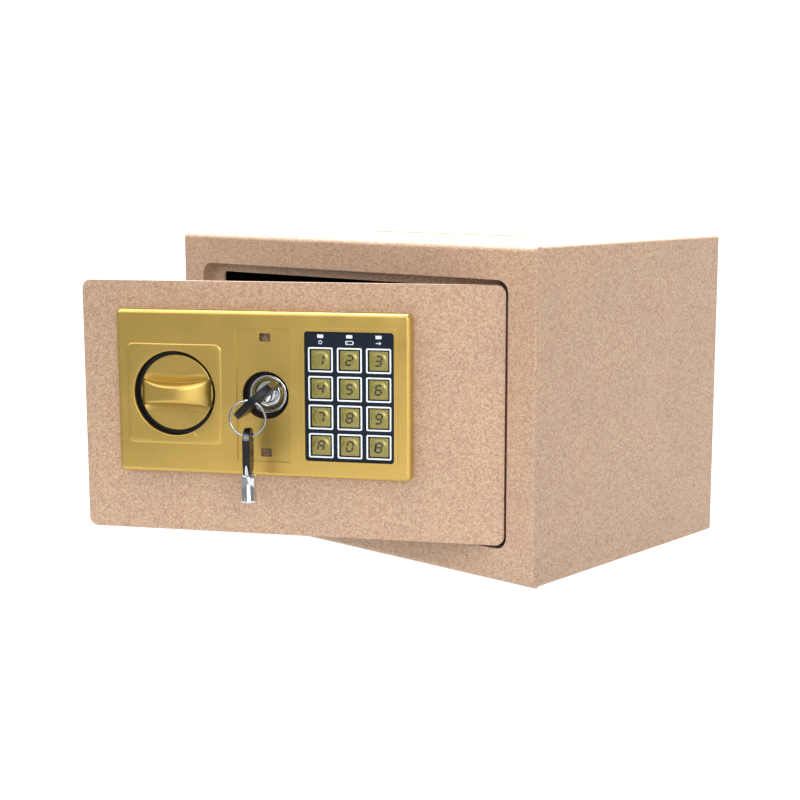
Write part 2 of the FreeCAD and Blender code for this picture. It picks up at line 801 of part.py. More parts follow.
def lock_plug():
    """Turning core: ring groove for the tubular key, and a tail that carries the cam."""
    core = rod_y(lock_x, lock_z, front_y - plug_face, cam_low_y, plug_radius)
    groove = rod_y(lock_x, lock_z, front_y - plug_face - 1, front_y - plug_face + plug_groove_depth,
                   plug_groove_outer)
    post = rod_y(lock_x, lock_z, front_y - plug_face - 1, front_y - plug_face + plug_groove_depth,
                 plug_groove_inner)
    tail = box(lock_x - tail_half, lock_x + tail_half, cam_low_y, cam_high_y, lock_z - tail_half,
               lock_z + tail_half)
    return join(core.cut(groove.cut(post)), tail)


def lock_cam():
    """Finger on the plug's tail that pushes the solenoid pin down when the key turns."""
    x0, x1 = lock_x, lock_x + cam_length - cam_half_width
    finger = join(box(x0, x1, cam_low_y, cam_high_y, lock_z - cam_half_width, lock_z + cam_half_width),
                  rod_y(x1, lock_z, cam_low_y, cam_high_y, cam_half_width),
                  rod_y(lock_x, lock_z, cam_low_y, cam_high_y, cam_hub_radius))
    finger.rotate(Vector(lock_x, 0, lock_z), Vector(0, -1, 0), cam_rest_angle)
    return finger.cut(box(lock_x - tail_half, lock_x + tail_half, cam_low_y - 1, cam_high_y + 1,
                          lock_z - tail_half, lock_z + tail_half))


def cam_screw():
    return rod_y(lock_x, lock_z, cam_high_y, cam_high_y + cam_screw_height, cam_screw_head)


def key_place(x, height, z, outward, side):
    """Placement of a key: its own Z runs along outward, its X along side, its Y along the hole."""
    hole = outward.cross(side)
    base = Vector(x, front_y - height, z)
    return Placement(Matrix(side.x, hole.x, outward.x, base.x, side.y, hole.y, outward.y, base.y,
                            side.z, hole.z, outward.z, base.z, 0, 0, 0, 1))


def bow_outline():
    """Shoulders that widen by arcs, straight sides, and an arched outer end."""
    top = bow_hole_inset
    half, shoulder = bow_width / 2, bow_shoulder / 2
    low = top - bow_length
    wide = low + bow_side_rise
    crown = top - bow_crown

    def at(x, z):
        return Vector(x, -bow_thickness / 2, z)

    edges = [Part.LineSegment(at(-shoulder, low), at(shoulder, low)).toShape(),
             Part.Arc(at(shoulder, low), at(half - bow_flare_inset, low + bow_flare_rise), at(half, wide)).toShape(),
             Part.LineSegment(at(half, wide), at(half, crown)).toShape(),
             Part.Arc(at(half, crown), at(0, top), at(-half, crown)).toShape(),
             Part.LineSegment(at(-half, crown), at(-half, wide)).toShape(),
             Part.Arc(at(-half, wide), at(-half + bow_flare_inset, low + bow_flare_rise), at(-shoulder, low)).toShape()]
    return Part.Wire(edges)


def key_bow():
    """Moulded bow in its own frame, the ring hole on its Y axis at the origin."""
    bow = Part.Face(bow_outline()).extrude(Vector(0, bow_thickness, 0))
    bow = bow.cut(rod_y(0, 0, -bow_thickness, bow_thickness, bow_hole_radius))
    low = bow_hole_inset - bow_length
    tang = tang_thickness / 2
    return bow.cut(box(-barrel_radius, barrel_radius, -tang, tang, low - 1, low + tang_length))


def key_barrel():
    low = bow_hole_inset - bow_length
    tang = tang_thickness / 2
    outer = rod_z(0, 0, low - barrel_length, low, barrel_radius)
    barrel = outer.cut(rod_z(0, 0, low - barrel_length - 1, low - barrel_end_wall, barrel_bore))
    blade = box(-barrel_radius, barrel_radius, -tang, tang, low, low + tang_length)
    return join(barrel, blade)


def key_ring_directions():
    """Ring normal and level direction, with the door shut."""
    turn = math.radians(ring_turn)
    normal = Vector(math.sin(turn), -math.cos(turn), 0)
    level = Vector(math.cos(turn), math.sin(turn), 0)
    return normal, level


def ring_centre():
    normal, level = key_ring_directions()
    drop = math.sqrt(ring_radius ** 2 - ring_offset ** 2)
    return Vector(lock_x, front_y - key_hole_height, lock_z) - level * ring_offset - Vector(0, 0, drop)


def key_ring():
    normal, _ = key_ring_directions()
    return Part.makeTorus(ring_radius, ring_wire, ring_centre(), normal)


def key_1_placement():
    turn = math.radians(bow_turn)
    side = Vector(-math.cos(turn), 0, -math.sin(turn))
    return key_place(lock_x, key_hole_height, lock_z, Vector(0, -1, 0), side)


def key_2_placement():
    normal, _ = key_ring_directions()
    hole = ring_centre() - Vector(0, 0, ring_radius)
    return key_place(hole.x, front_y - hole.y, hole.z, Vector(0, 0, 1), normal)


def placed(shape, placement):
    moved = shape.copy()
    moved.Placement = placement
    return moved


# cover, boards and battery box on the back of the door

def post_places():
    x0, x1 = cover_left + post_inset, cover_right - post_inset
    return [(x, z) for x in (x0, x1) for z in (cover_bottom + post_inset, cover_top - post_inset)]


def door_inner_cover():
    """Open box of thin sheet, with the bolt, battery, reset and screw holes and two lid ears."""
    sheet = cover_sheet
    cover = box(cover_left, cover_right, plate_back_y, cover_back_y, cover_bottom, cover_top)
    cover = cover.cut(box(cover_left + sheet, cover_right - sheet, plate_back_y - 1, cover_back_y - sheet,
                          cover_bottom + sheet, cover_top - sheet))
    for z in bolt_heights():
        cover = cover.cut(rod_x(bolt_y, z, cover_left - 1, cover_left + 2 * sheet, bolt_radius + bolt_clearance))
    for x, z in post_places():
        cover = cover.cut(rod_y(x, z, cover_back_y - 2 * sheet, cover_back_y + 1, cover_screw_radius))
    cover = cover.cut(box(holder_left + cover_window_margin, holder_right - cover_window_margin, cover_back_y - 2 * sheet, cover_back_y + 1,
                          holder_bottom + cover_window_margin, holder_top - cover_window_margin))
    cover = cover.cut(rod_y(reset_x, reset_z, cover_back_y - 2 * sheet, cover_back_y + 1, reset_radius + fit_gap))
    ears = [lid_ear(side) for side in (-1, 1)]
    return join(cover, *ears)


def lid_span():
    return holder_left + lid_inset, holder_right - lid_inset


def lid_axis():
    return cover_back_y + lid_gap + lid_thickness / 2, holder_top


def lid_ear(side):
    x_edge = lid_span()[(side + 1) // 2] + side * lid_gap
    x0, x1 = sorted((x_edge, x_edge + side * ear_width))
    y, z = lid_axis()
    ear = join(box(x0, x1, cover_back_y, y, z - ear_radius, z + ear_radius), rod_x(y, z, x0, x1, ear_radius))
    return ear.cut(rod_x(y, z, x0 - 1, x1 + 1, lid_pin_radius + lid_pin_clear))


def battery_lid():
    """Flap that hangs from two pins along its top edge."""
    x0, x1 = lid_span()
    y, z = lid_axis()
    half = lid_thickness / 2
    flap = join(box(x0, x1, y - half, y + half, holder_bottom + lid_inset, z), rod_x(y, z, x0, x1, half))
    pins = rod_x(y, z, x0 - ear_width, x1 + ear_width, lid_pin_radius)
    pull = box(pull_left, pull_right, y + half, y + half + pull_proud, pull_bottom, pull_bottom + pull_height)
    return join(flap, pins, pull)


def battery_holder():
    y1 = cover_back_y - cover_sheet
    holder = box(holder_left, holder_right, holder_front_y, y1, holder_bottom, holder_top)
    room = box(holder_left + holder_wall, holder_right - holder_wall, holder_front_y + holder_wall, y1 + 1,
               holder_bottom + holder_wall, holder_top - holder_wall)
    return holder.cut(room)


def cell_places():
    centre = (holder_left + holder_right) / 2
    y = holder_front_y + holder_wall + cell_radius + cell_clear
    return [(centre + (k - 1.5) * cell_pitch, y) for k in range(4)]


def battery_cell(x, y, up):
    low = (holder_bottom + holder_top) / 2 - cell_length / 2
    high = low + cell_length
    cap = cell_cap_height
    if up:
        can, button = rod_z(x, y, low, high - cap, cell_radius), rod_z(x, y, high - cap, high, cell_cap_radius)
    else:
        can, button = rod_z(x, y, low + cap, high, cell_radius), rod_z(x, y, low, low + cap, cell_cap_radius)
    return join(can, button)


def battery_contacts():
    """Eight contact plates, one at each end of each cell."""
    low = holder_bottom + holder_wall
    high = holder_top - holder_wall
    half = contact_half
    plates = []
    for x, y in cell_places():
        plates.append(box(x - half, x + half, y - half, y + half, low, low + contact_sheet))
        plates.append(box(x - half, x + half, y - half, y + half, high - contact_sheet, high))
    return group(*plates)


def main_board():
    return rounded_slab(board_left, board_right, board_front_y, board_back_y, board_bottom, board_top, board_corner)


def board_components():
    """Chip, buzzer, relay, two sockets and the reset switch, each soldered to the board."""
    y0, y1 = board_front_y, board_back_y
    half = switch_half
    return group(box(chip_left, chip_right, y0 - chip_height, y0, chip_bottom, chip_top),
                 rod_y(buzzer_x, buzzer_z, y0 - buzzer_height, y0, buzzer_radius),
                 box(relay_left, relay_right, y0 - relay_height, y0, relay_bottom, relay_top),
                 box(pad_x - pad_socket_half, pad_x + pad_socket_half, y0 - socket_height, y0, pad_socket_bottom,
                     pad_socket_top),
                 box(battery_socket_left, battery_socket_right, y0 - socket_height, y0, battery_socket_bottom,
                     battery_socket_top),
                 box(reset_x - half, reset_x + half, y1, y1 + switch_height, reset_z - half, reset_z + half))


def board_mounts():
    """Four pillars between the board and the cover's face."""
    y1 = cover_back_y - cover_sheet
    return [rod_y(x, z, board_back_y, y1, mount_radius) for x in (board_left + mount_inset, board_right - mount_inset)
            for z in (board_bottom + mount_inset, board_top - mount_inset)]


def reset_button():
    inner = board_back_y + switch_height + reset_travel
    stem = rod_y(reset_x, reset_z, inner, cover_back_y + reset_proud, reset_radius)
    foot = rod_y(reset_x, reset_z, inner, inner + reset_foot, reset_radius + reset_foot_flare)
    return join(stem, foot)


def keypad_cable():
    """Lead from the keypad board through the door plate to its socket on the main board."""
    socket_y = board_front_y - socket_height
    level = cable_z - cable_drop
    points = [(pad_x, front_y - board_low, cable_z), (pad_x, plate_back_y + 3.0, cable_z),
              (pad_x, socket_y - 8.0, level), (pad_x, socket_y, level)]
    return tube(points, cable_radius)


def battery_lead():
    points = [(65.0, -82.0, 98.0), (65.0, -86.0, 98.0), (65.0, -86.0, 112.5), (65.0, board_front_y - socket_height, 112.5)]
    return tube(points, lead_radius)


def solenoid_lead():
    x0 = plunger_x + coil_radius + 0.1
    points = [(x0, plunger_y, 52.0), (x0 + 14.0, plunger_y - 3.0, 54.0), (8.0, -90.0, 70.0),
              (10.0, -90.0, 104.0), (20.0, -88.0, 116.5), (20.0, board_front_y - relay_height, 116.5)]
    return tube(points, lead_radius)


def build():
    os.makedirs("parts", exist_ok=True)
    save("cabinet_wrap", cabinet_wrap())
    save("front_frame", front_frame())
    save("rear_panel", rear_panel())
    save("hinge_bushes", group(hinge_bush(opening_top, 1), hinge_bush(opening_bottom, -1)))
    save("floor_mat", floor_mat())

    save_on_door("door_plate", door_plate())
    save_on_door("hinge_pins", group(hinge_pin(door_top, 1), hinge_pin(door_bottom, -1)))
    save_on_door("lock_bezel", lock_bezel())
    save_on_door("bezel_screws", group(*[bezel_screw(x, z) for x, z in bezel_bosses()]))
    save_on_door("keypad_overlay", keypad_overlay())
    save_on_door("indicator_lights", indicator_lights())
    save_on_door("keypad_board", keypad_board())
    for name, x, z in key_places():
        save_on_door("keypad_button_" + name, keypad_button(x, z))

    save_on_door("knob_bush", knob_bush())
    save_on_door("turn_knob", turn_knob())
    save_on_door("knob_spindle", knob_spindle())
    save_on_door("drive_crank", drive_crank())
    save_on_door("bolt_carriage", bolt_carriage())
    save_on_door("locking_bolts", group(*[locking_bolt(z) for z in bolt_heights()]))
    save_on_door("carriage_studs", group(*[carriage_stud(z) for z in bolt_heights()]))
    save_on_door("bolt_guide", bolt_guide())

    save_on_door("solenoid_yoke", solenoid_yoke())
    save_on_door("solenoid_coil", solenoid_coil())
    save_on_door("solenoid_plunger", solenoid_plunger())
    save_on_door("plunger_pin", plunger_pin())
    save_on_door("solenoid_spring", solenoid_spring())

    save_on_door("lock_cylinder", lock_cylinder())
    save_on_door("lock_nut", lock_nut())
    save_on_door("lock_plug", lock_plug())
    save_on_door("lock_cam", lock_cam())
    save_on_door("cam_screw", cam_screw())
    save_on_door("key_1_bow", placed(key_bow(), key_1_placement()))
    save_on_door("key_1_barrel", placed(key_barrel(), key_1_placement()))
    save_on_door("key_ring", key_ring())
    save_on_door("key_2_bow", placed(key_bow(), key_2_placement()))
    save_on_door("key_2_barrel", placed(key_barrel(), key_2_placement()))

    save_on_door("door_inner_cover", door_inner_cover())
    posts = [rod_y(x, z, plate_back_y, cover_back_y - cover_sheet, post_radius) for x, z in post_places()]
    bores = [rod_y(x, z, cover_back_y - cover_screw_length, cover_back_y, cover_screw_radius)
             for x, z in post_places()]
    save_on_door("cover_posts", group(*[post.cut(bore) for post, bore in zip(posts, bores)], *board_mounts()))
    screws = [join(bore, rod_y(x, z, cover_back_y, cover_back_y + cover_screw_head_height, cover_screw_head))
              for bore, (x, z) in zip(bores, post_places())]
    save_on_door("cover_screws", group(*screws))
    save_on_door("battery_holder", battery_holder())
    cells = [battery_cell(x, y, k % 2 == 0) for k, (x, y) in enumerate(cell_places())]
    save_on_door("batteries", group(*cells))
    save_on_door("battery_contacts", battery_contacts())
    save_on_door("battery_lid", battery_lid())
    save_on_door("main_board", main_board())
    save_on_door("board_components", board_components())
    save_on_door("reset_button", reset_button())
    save_on_door("keypad_cable", keypad_cable())
    save_on_door("internal_leads", group(battery_lead(), solenoid_lead()))
    print("hinge axis", hinge_x, hinge_y)


build()
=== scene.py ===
import math

import bmesh
import bpy
import numpy as np
from mathutils import Matrix, Vector


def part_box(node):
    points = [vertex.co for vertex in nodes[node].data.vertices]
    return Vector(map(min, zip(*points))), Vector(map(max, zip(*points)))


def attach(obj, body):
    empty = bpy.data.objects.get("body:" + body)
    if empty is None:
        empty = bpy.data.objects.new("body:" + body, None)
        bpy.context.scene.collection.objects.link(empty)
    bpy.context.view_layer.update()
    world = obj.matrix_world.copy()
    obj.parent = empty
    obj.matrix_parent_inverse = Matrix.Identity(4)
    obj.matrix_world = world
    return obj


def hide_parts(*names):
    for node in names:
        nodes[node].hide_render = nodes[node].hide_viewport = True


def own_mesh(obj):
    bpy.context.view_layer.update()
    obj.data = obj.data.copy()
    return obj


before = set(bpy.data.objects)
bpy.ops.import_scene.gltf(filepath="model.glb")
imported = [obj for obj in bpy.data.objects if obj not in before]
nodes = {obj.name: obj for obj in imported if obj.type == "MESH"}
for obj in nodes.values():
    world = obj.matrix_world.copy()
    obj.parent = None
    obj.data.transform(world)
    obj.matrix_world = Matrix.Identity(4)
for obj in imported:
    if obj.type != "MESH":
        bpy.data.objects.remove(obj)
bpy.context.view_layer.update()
print("frame loaded,", len(nodes), "CAD nodes")

# The door's pieces are laid out with the door shut, in millimetres, and then swung open about the hinge.
door = {"hingeX": 127.2, "hingeY": -95.0, "openAngle": 30.0}


def swing(points, angle):
    # a turn about the upright through the hinge pins
    points = np.asarray(points, float)
    x, y = points[..., 0] - door["hingeX"], points[..., 1] - door["hingeY"]
    c, s = math.cos(math.radians(angle)), math.sin(math.radians(angle))
    return np.stack([door["hingeX"] + c * x - s * y, door["hingeY"] + s * x + c * y, points[..., 2]], -1)


def shutBox(node):
    # lowest and highest corner of a door node with the door turned shut, in millimetres
    mesh = nodes[node].data
    co = np.empty(len(mesh.vertices) * 3)
    mesh.vertices.foreach_get("co", co)
    co = swing(co.reshape(-1, 3) * 1000, -door["openAngle"])
    return co.min(0), co.max(0)


def centreOf(node):
    low, high = shutBox(node)
    return (low + high) / 2


faceY = shutBox("door_plate")[0][1]
knobAt, lockAt, padAt = centreOf("turn_knob"), centreOf("lock_plug"), centreOf("keypad_overlay")
bezelFace = 9.0  # height of the panel's flat face above the door


# shapes: every piece is one or more grids of points, rows x columns x 3

def front(grid, x, z):
    # (across, up, height above the door's face) to the shut door
    return np.stack([x + grid[..., 0], faceY - grid[..., 2], z + grid[..., 1]], -1)


def aimed(grid, base, side, cross, along):
    # a grid in a piece's own axes to the shut door
    base, side, cross, along = (np.asarray(v, float) for v in (base, side, cross, along))
    return base + grid[..., :1] * side + grid[..., 1:2] * cross + grid[..., 2:3] * along


def angles(count):
    return np.arange(count) * 2 * math.pi / count


def polarGrid(rows, turn):
    # each row is a ring: its radius and its height, each one number or one value per angle
    radius = np.stack([np.broadcast_to(r, turn.shape) for r, _ in rows])
    height = np.stack([np.broadcast_to(h, turn.shape) for _, h in rows])
    return np.stack([radius * np.cos(turn), radius * np.sin(turn), height], -1)


def roundedRectangle(width, height, radius, perCorner=7, perSide=8):
    # four straight sides joined by quarter circles, anticlockwise
    points = []
    for k, (i, j) in enumerate(((1, 1), (-1, 1), (-1, -1), (1, -1))):
        turn = math.pi / 2 * k + np.linspace(0, math.pi / 2, perCorner)
        centre = (i * (width / 2 - radius), j * (height / 2 - radius))
        points.append(np.stack([centre[0] + radius * np.cos(turn), centre[1] + radius * np.sin(turn)], -1))
    sides = []
    for k in range(4):
        a, b = points[k][-1], points[(k + 1) % 4][0]
        sides.append(a + (b - a) * (np.arange(1, perSide) / perSide)[:, None])
    return np.concatenate([np.concatenate([points[k], sides[k]]) for k in range(4)])


def reach(outline, turn):
    # how far the outline lies from its own origin in each direction
    at = np.arctan2(outline[:, 1], outline[:, 0])
    order = np.argsort(at)
    return np.interp(turn, at[order], np.hypot(*outline.T)[order], period=2 * math.pi)


def outwards(outline):
    # unit normals of an anticlockwise outline
    step = np.roll(outline, -1, 0) - np.roll(outline, 1, 0)
    normal = np.stack([step[:, 1], -step[:, 0]], -1)
    return normal / np.linalg.norm(normal, axis=1)[:, None]


def lofted(outline, steps):
    # the outline drawn in by each step's inset at that step's height, closed by a point at both ends
    normal, middle = outwards(outline), outline.mean(0)
    rings = [np.column_stack([outline - inset * normal, np.full(len(outline), height)])
             for inset, height in steps]
    ends = [np.tile([*middle, height], (len(outline), 1)) for height in (steps[0][1], steps[-1][1])]
    return np.stack([ends[0], *rings, ends[1]])


def roundedSteps(low, high, radius, count=4):
    # from the foot up a straight side and round an edge of that radius
    turn = np.linspace(0, math.pi / 2, count)
    return [(0, low)] + [(radius * (1 - math.cos(t)), high - radius * (1 - math.sin(t))) for t in turn]


def carried(path, profile, up, closed):
    # the profile, in (sideways, up), at every point of the path, square to the path's direction
    if closed:
        ahead = np.roll(path, -1, 0) - np.roll(path, 1, 0)
    else:
        ahead = np.gradient(path, axis=0)
    ahead = ahead / np.linalg.norm(ahead, axis=1)[:, None]
    side = np.cross(ahead, up)
    side = side / np.linalg.norm(side, axis=1)[:, None]
    rise = np.cross(side, ahead)
    return path[:, None] + profile[None, :, :1] * side[:, None] + profile[None, :, 1:] * rise[:, None]


def capped(grid):
    # both end rows drawn to their middle
    first, last = (np.broadcast_to(row.mean(0), row.shape) for row in (grid[0], grid[-1]))
    return np.concatenate([first[None], grid, last[None]])


def smoothStep(t):
    t = np.clip(t, 0, 1)
    return t * t * (3 - 2 * t)


def makePiece(name, grids, material, body, standsFor=(), swung=True, crease=38):
    # grids: (points in mm, rows joined end to end, columns joined end to end)
    corners, faces, start = [], [], 0
    for grid, wrapRows, wrapColumns in grids:
        rows, columns = grid.shape[:2]
        i = np.arange(rows if wrapRows else rows - 1)[:, None]
        j = np.arange(columns if wrapColumns else columns - 1)[None]
        i2, j2 = (i + 1) % rows, (j + 1) % columns
        around = (i * columns + j, i2 * columns + j, i2 * columns + j2, i * columns + j2)
        quads = np.stack(np.broadcast_arrays(*around), -1)
        corners.append(grid.reshape(-1, 3))
        faces.append(quads.reshape(-1, 4) + start)
        start += rows * columns
    corners = np.concatenate(corners)
    if swung:
        corners = swing(corners, door["openAngle"])
    mesh = bpy.data.meshes.new(name)
    mesh.from_pydata((corners * 0.001).tolist(), [], np.concatenate(faces).tolist())
    work = bmesh.new()
    work.from_mesh(mesh)
    bmesh.ops.remove_doubles(work, verts=work.verts, dist=1e-6)
    bmesh.ops.dissolve_degenerate(work, edges=work.edges, dist=1e-7)
    bmesh.ops.recalc_face_normals(work, faces=work.faces)
    work.to_mesh(mesh)
    work.free()
    mesh.shade_smooth()
    mesh.set_sharp_from_angle(angle=math.radians(crease))
    mesh.materials.append(material)
    piece = bpy.data.objects.new(name, mesh)
    bpy.context.scene.collection.objects.link(piece)
    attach(piece, body)
    if standsFor:
        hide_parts(*standsFor)
    return piece


# materials

def colour(code):
    # sRGB hex to linear
    parts = [int(code[i:i + 2], 16) / 255 for i in (1, 3, 5)]
    return [v / 12.92 if v <= 0.04045 else ((v + 0.055) / 1.055) ** 2.4 for v in parts] + [1.0]


def addNode(material, kind, inputs=None, **settings):
    # inputs: socket name or number to a value, or to (node, output)
    node = material.node_tree.nodes.new(kind)
    for name, value in settings.items():
        setattr(node, name, value)
    for socket, value in (inputs or {}).items():
        if isinstance(value, tuple) and isinstance(value[0], bpy.types.Node):
            material.node_tree.links.new(value[0].outputs[value[1]], node.inputs[socket])
        else:
            node.inputs[socket].default_value = value
    return node


def newMaterial(name):
    material = bpy.data.materials.new(name)
    material.use_nodes = True
    material.node_tree.nodes.clear()
    output = addNode(material, "ShaderNodeOutputMaterial")
    return material, output, addNode(material, "ShaderNodeTexCoord")


def finishMaterial(material, output, inputs):
    shader = addNode(material, "ShaderNodeBsdfPrincipled", inputs)
    material.node_tree.links.new(shader.outputs[0], output.inputs[0])
    return material


def ramp(material, source, stops):
    # stops: position to colour
    node = addNode(material, "ShaderNodeValToRGB", {0: source})
    elements = node.color_ramp.elements
    while len(elements) < len(stops):
        elements.new(0.5)
    for element, (position, shade) in zip(elements, stops):
        element.position, element.color = position, shade
    return node


def hammeredPaint(name, look):
    # Oven-cured hammer-finish powder coat on steel: thin dark worm-like hollows about a millimetre apart
    # between glossier lighter swellings, over faint clouds a few centimetres wide.
    material, output, at = newMaterial(name)
    field = addNode(material, "ShaderNodeTexNoise", {"Vector": (at, "Object"), "Scale": look["wormsPerMetre"],
                                                     "Detail": 1.0, "Roughness": 0.4,
                                                     "Distortion": look["curl"]})
    clouds = addNode(material, "ShaderNodeTexNoise", {"Vector": (at, "Object"), "Scale": 28.0, "Detail": 2.0})
    fromMiddle = addNode(material, "ShaderNodeMath", {0: (field, 0), 1: 0.5}, operation="SUBTRACT")
    height = addNode(material, "ShaderNodeMath", {0: (fromMiddle, 0)}, operation="ABSOLUTE")
    skin = ramp(material, (height, 0), [(0.0, colour(look["hollow"])), (0.035, colour(look["mid"])),
                                       (0.13, colour(look["ridge"]))])
    cloudy = ramp(material, (clouds, 0), [(0.3, [0.95, 0.95, 0.955, 1]), (0.7, [1, 1, 1, 1])])
    mixed = addNode(material, "ShaderNodeMixRGB", {0: 1.0, 1: (skin, 0), 2: (cloudy, 0)},
                    blend_type="MULTIPLY")
    gloss = addNode(material, "ShaderNodeMapRange", {0: (height, 0), 1: 0.0, 2: 0.12, 3: look["roughHollow"],
                                                     4: look["roughRidge"]})
    edge = addNode(material, "ShaderNodeBevel", {"Radius": look["edge"]}, samples=4)
    bump = addNode(material, "ShaderNodeBump", {"Strength": look["bump"], "Distance": 0.0004,
                                                "Height": (height, 0), "Normal": (edge, 0)})
    return finishMaterial(material, output, {"Base Color": (mixed, 0), "Roughness": (gloss, 0), "IOR": 1.5,
                                             "Normal": (bump, 0)})


paintLook = {"hollow": "#9c775e", "mid": "#b4937a", "ridge": "#c4a68b", "wormsPerMetre": 560.0, "curl": 0.5,
             "roughHollow": 0.46, "roughRidge": 0.38, "bump": 0.3, "edge": 0.0005}
hammeredTan = hammeredPaint("hammered tan powder coat", paintLook)


def grainyMaterial(name, look):
    # A solid finish with two scales of grain: fine in the colour and bump, and broad in the
    # roughness. look holds the base colour, a shade of it, metallic, roughness, and the grain's size in mm.
    material, output, at = newMaterial(name)
    grain = addNode(material, "ShaderNodeTexNoise", {"Vector": (at, "Object"), "Scale": 1000 / look["grain"],
                                                     "Detail": 3.0, "Roughness": 0.6})
    broad = addNode(material, "ShaderNodeTexNoise", {"Vector": (at, "Object"), "Scale": 45.0, "Detail": 3.0})
    shade = ramp(material, (grain, 0), [(0.3, colour(look["shade"])), (0.7, colour(look["base"]))])
    rough = addNode(material, "ShaderNodeMapRange", {0: (broad, 0), 1: 0.3, 2: 0.7, 3: look["rough"] * 0.85,
                                                     4: look["rough"] * 1.15})
    edge = addNode(material, "ShaderNodeBevel", {"Radius": look.get("edge", 0.00025)}, samples=4)
    bump = addNode(material, "ShaderNodeBump", {"Strength": look.get("bump", 0.15), "Distance": 0.0001,
                                                "Height": (grain, 0), "Normal": (edge, 0)})
    inputs = {"Base Color": (shade, 0), "Roughness": (rough, 0), "Metallic": look.get("metallic", 0.0),
              "Normal": (bump, 0)}
    if "ior" in look:
        inputs["IOR"] = look["ior"]
    if "specular" in look:
        inputs["Specular IOR Level"] = look["specular"]
    if "coat" in look:
        inputs["Coat Weight"], inputs["Coat Roughness"] = look["coat"], look.get("coatRough", 0.1)
    return finishMaterial(material, output, inputs)


# Moulded ABS sprayed with satin metallic gold: fine flake, a soft broad sheen.
goldPaint = grainyMaterial("satin gold sprayed ABS", {"base": "#d0b061", "shade": "#c7a654", "metallic": 0.82,
                                                      "rough": 0.31, "grain": 0.5, "bump": 0.01, "coat": 0.15,
                                                      "coatRough": 0.25})
# The same gold under the keypad's clear film: greener, and glossier.
keyGold = grainyMaterial("gold print under clear film", {"base": "#928847", "shade": "#8a7f39",
                                                         "metallic": 0.45, "rough": 0.34, "grain": 0.6,
                                                         "bump": 0.05, "coat": 0.5})
# Polyester membrane, screen printed in navy: smooth, with a faint orange-peel.
navyFilm = grainyMaterial("navy printed polyester film", {"base": "#0d1b2a", "shade": "#0a1622",
                                                          "rough": 0.45, "specular": 0.2, "grain": 1.2,
                                                          "bump": 0.05, "ior": 1.5})
# Opaque screen ink: flat white lines with a slightly chalky face.
whiteInk = grainyMaterial("white screen ink", {"base": "#eef4fb", "shade": "#e2eaf4", "rough": 0.5,
                                               "grain": 0.6, "bump": 0.05, "ior": 1.5})
# The same ink in navy: matt figures on the glossier keys.
navyInk = grainyMaterial("navy screen ink", {"base": "#111c2b", "shade": "#0d1622", "rough": 0.5, "grain": 0.6,
                                             "bump": 0.05, "ior": 1.5})
# Frosted acrylic light windows.
lampAcrylic = grainyMaterial("frosted acrylic", {"base": "#e6f0fa", "shade": "#d8e6f4", "rough": 0.35,
                                                 "grain": 0.8, "bump": 0.04, "ior": 1.49})
# Bright chrome plate on die-cast zinc: mirror-like, with faint polishing waves.
chromePlate = grainyMaterial("bright chrome plate", {"base": "#dfe2e6", "shade": "#d3d7dc", "metallic": 1.0,
                                                     "rough": 0.08, "grain": 2.5, "bump": 0.03})
# The dished ring round the plug: brass dulled to an olive gold.
dulledRing = grainyMaterial("dulled brass ring", {"base": "#94824a", "shade": "#7d6c3a", "metallic": 1.0,
                                                  "rough": 0.28, "grain": 1.5, "bump": 0.05})
# Zinc-plated pressed steel: pale, slightly blue, with a soft spangle.
zincPlate = grainyMaterial("zinc-plated steel", {"base": "#c3c6c8", "shade": "#a4a8ab", "metallic": 1.0,
                                                 "rough": 0.38, "grain": 3.0, "bump": 0.08})
# Nickel-plated spring wire: darker than chrome, still mirror-like.
nickelWire = grainyMaterial("nickel-plated spring wire", {"base": "#a3a5a6", "shade": "#8d8f92",
                                                          "metallic": 1.0, "rough": 0.12, "grain": 1.0,
                                                          "bump": 0.03})
# Brown-black and dull: painted shade in the gap round the lock's head, where the hole's wall and the door lie
# in shadow.
gapShadePaint = grainyMaterial("brown-black painted shade round the lock", {"base": "#2c1b12", "shade": "#20130c",
                                                            "rough": 0.6, "grain": 0.8, "specular": 0.3})
# Ground bar with thin nickel: a soft, slightly warm shine with a fine grind.
boltSteel = grainyMaterial("nickel-plated ground bar", {"base": "#cfcfcc", "shade": "#bdbdba", "metallic": 1.0,
                                                        "rough": 0.2, "grain": 0.8, "bump": 0.05})
# Turned brass: yellow, with fine tool marks.
turnedBrass = grainyMaterial("turned brass", {"base": "#c8a45a", "shade": "#b08c46", "metallic": 1.0,
                                              "rough": 0.3, "grain": 0.6, "bump": 0.08})
# Nylon, filled black: satin, with a faint grain.
blackNylon = grainyMaterial("black nylon", {"base": "#191919", "shade": "#111111", "rough": 0.5, "grain": 1.0,
                                            "ior": 1.53})
# Black powder coat inside and on the door's cover: fine orange-peel, satin.
# The same black is painted shade on the walls and floor of the knob's well in the gold panel.
blackCoatAndWellShade = grainyMaterial("fine black powder coat, also painted well shade", {"base": "#1b1a19", "shade": "#131211", "rough": 0.55,
                                                      "grain": 1.4, "bump": 0.3, "ior": 1.5})
# Moulded key bows: black ABS with a spark-eroded skin.
blackAbs = grainyMaterial("black moulded ABS", {"base": "#101216", "shade": "#0b0d10", "rough": 0.34,
                                                "specular": 0.22, "grain": 0.5, "bump": 0.2, "ior": 1.53})
# Circuit board: glossy green mask over a woven laminate.
boardGreen = grainyMaterial("solder-masked laminate", {"base": "#1f6238", "shade": "#174c2b", "rough": 0.3,
                                                       "grain": 1.5, "bump": 0.1, "ior": 1.5, "coat": 0.4})
# Moulded epoxy and holder plastic: matt charcoal with a fine sandy skin.
chipBlack = grainyMaterial("moulded epoxy", {"base": "#222222", "shade": "#181818", "rough": 0.5, "grain": 0.5})
# Clear tape round the winding: glossy, with the copper's orange showing through.
coilTape = grainyMaterial("amber polyester tape over copper", {"base": "#a85a24", "shade": "#7f3d14",
                                                               "rough": 0.3, "grain": 1.0, "bump": 0.1,
                                                               "coat": 0.5})
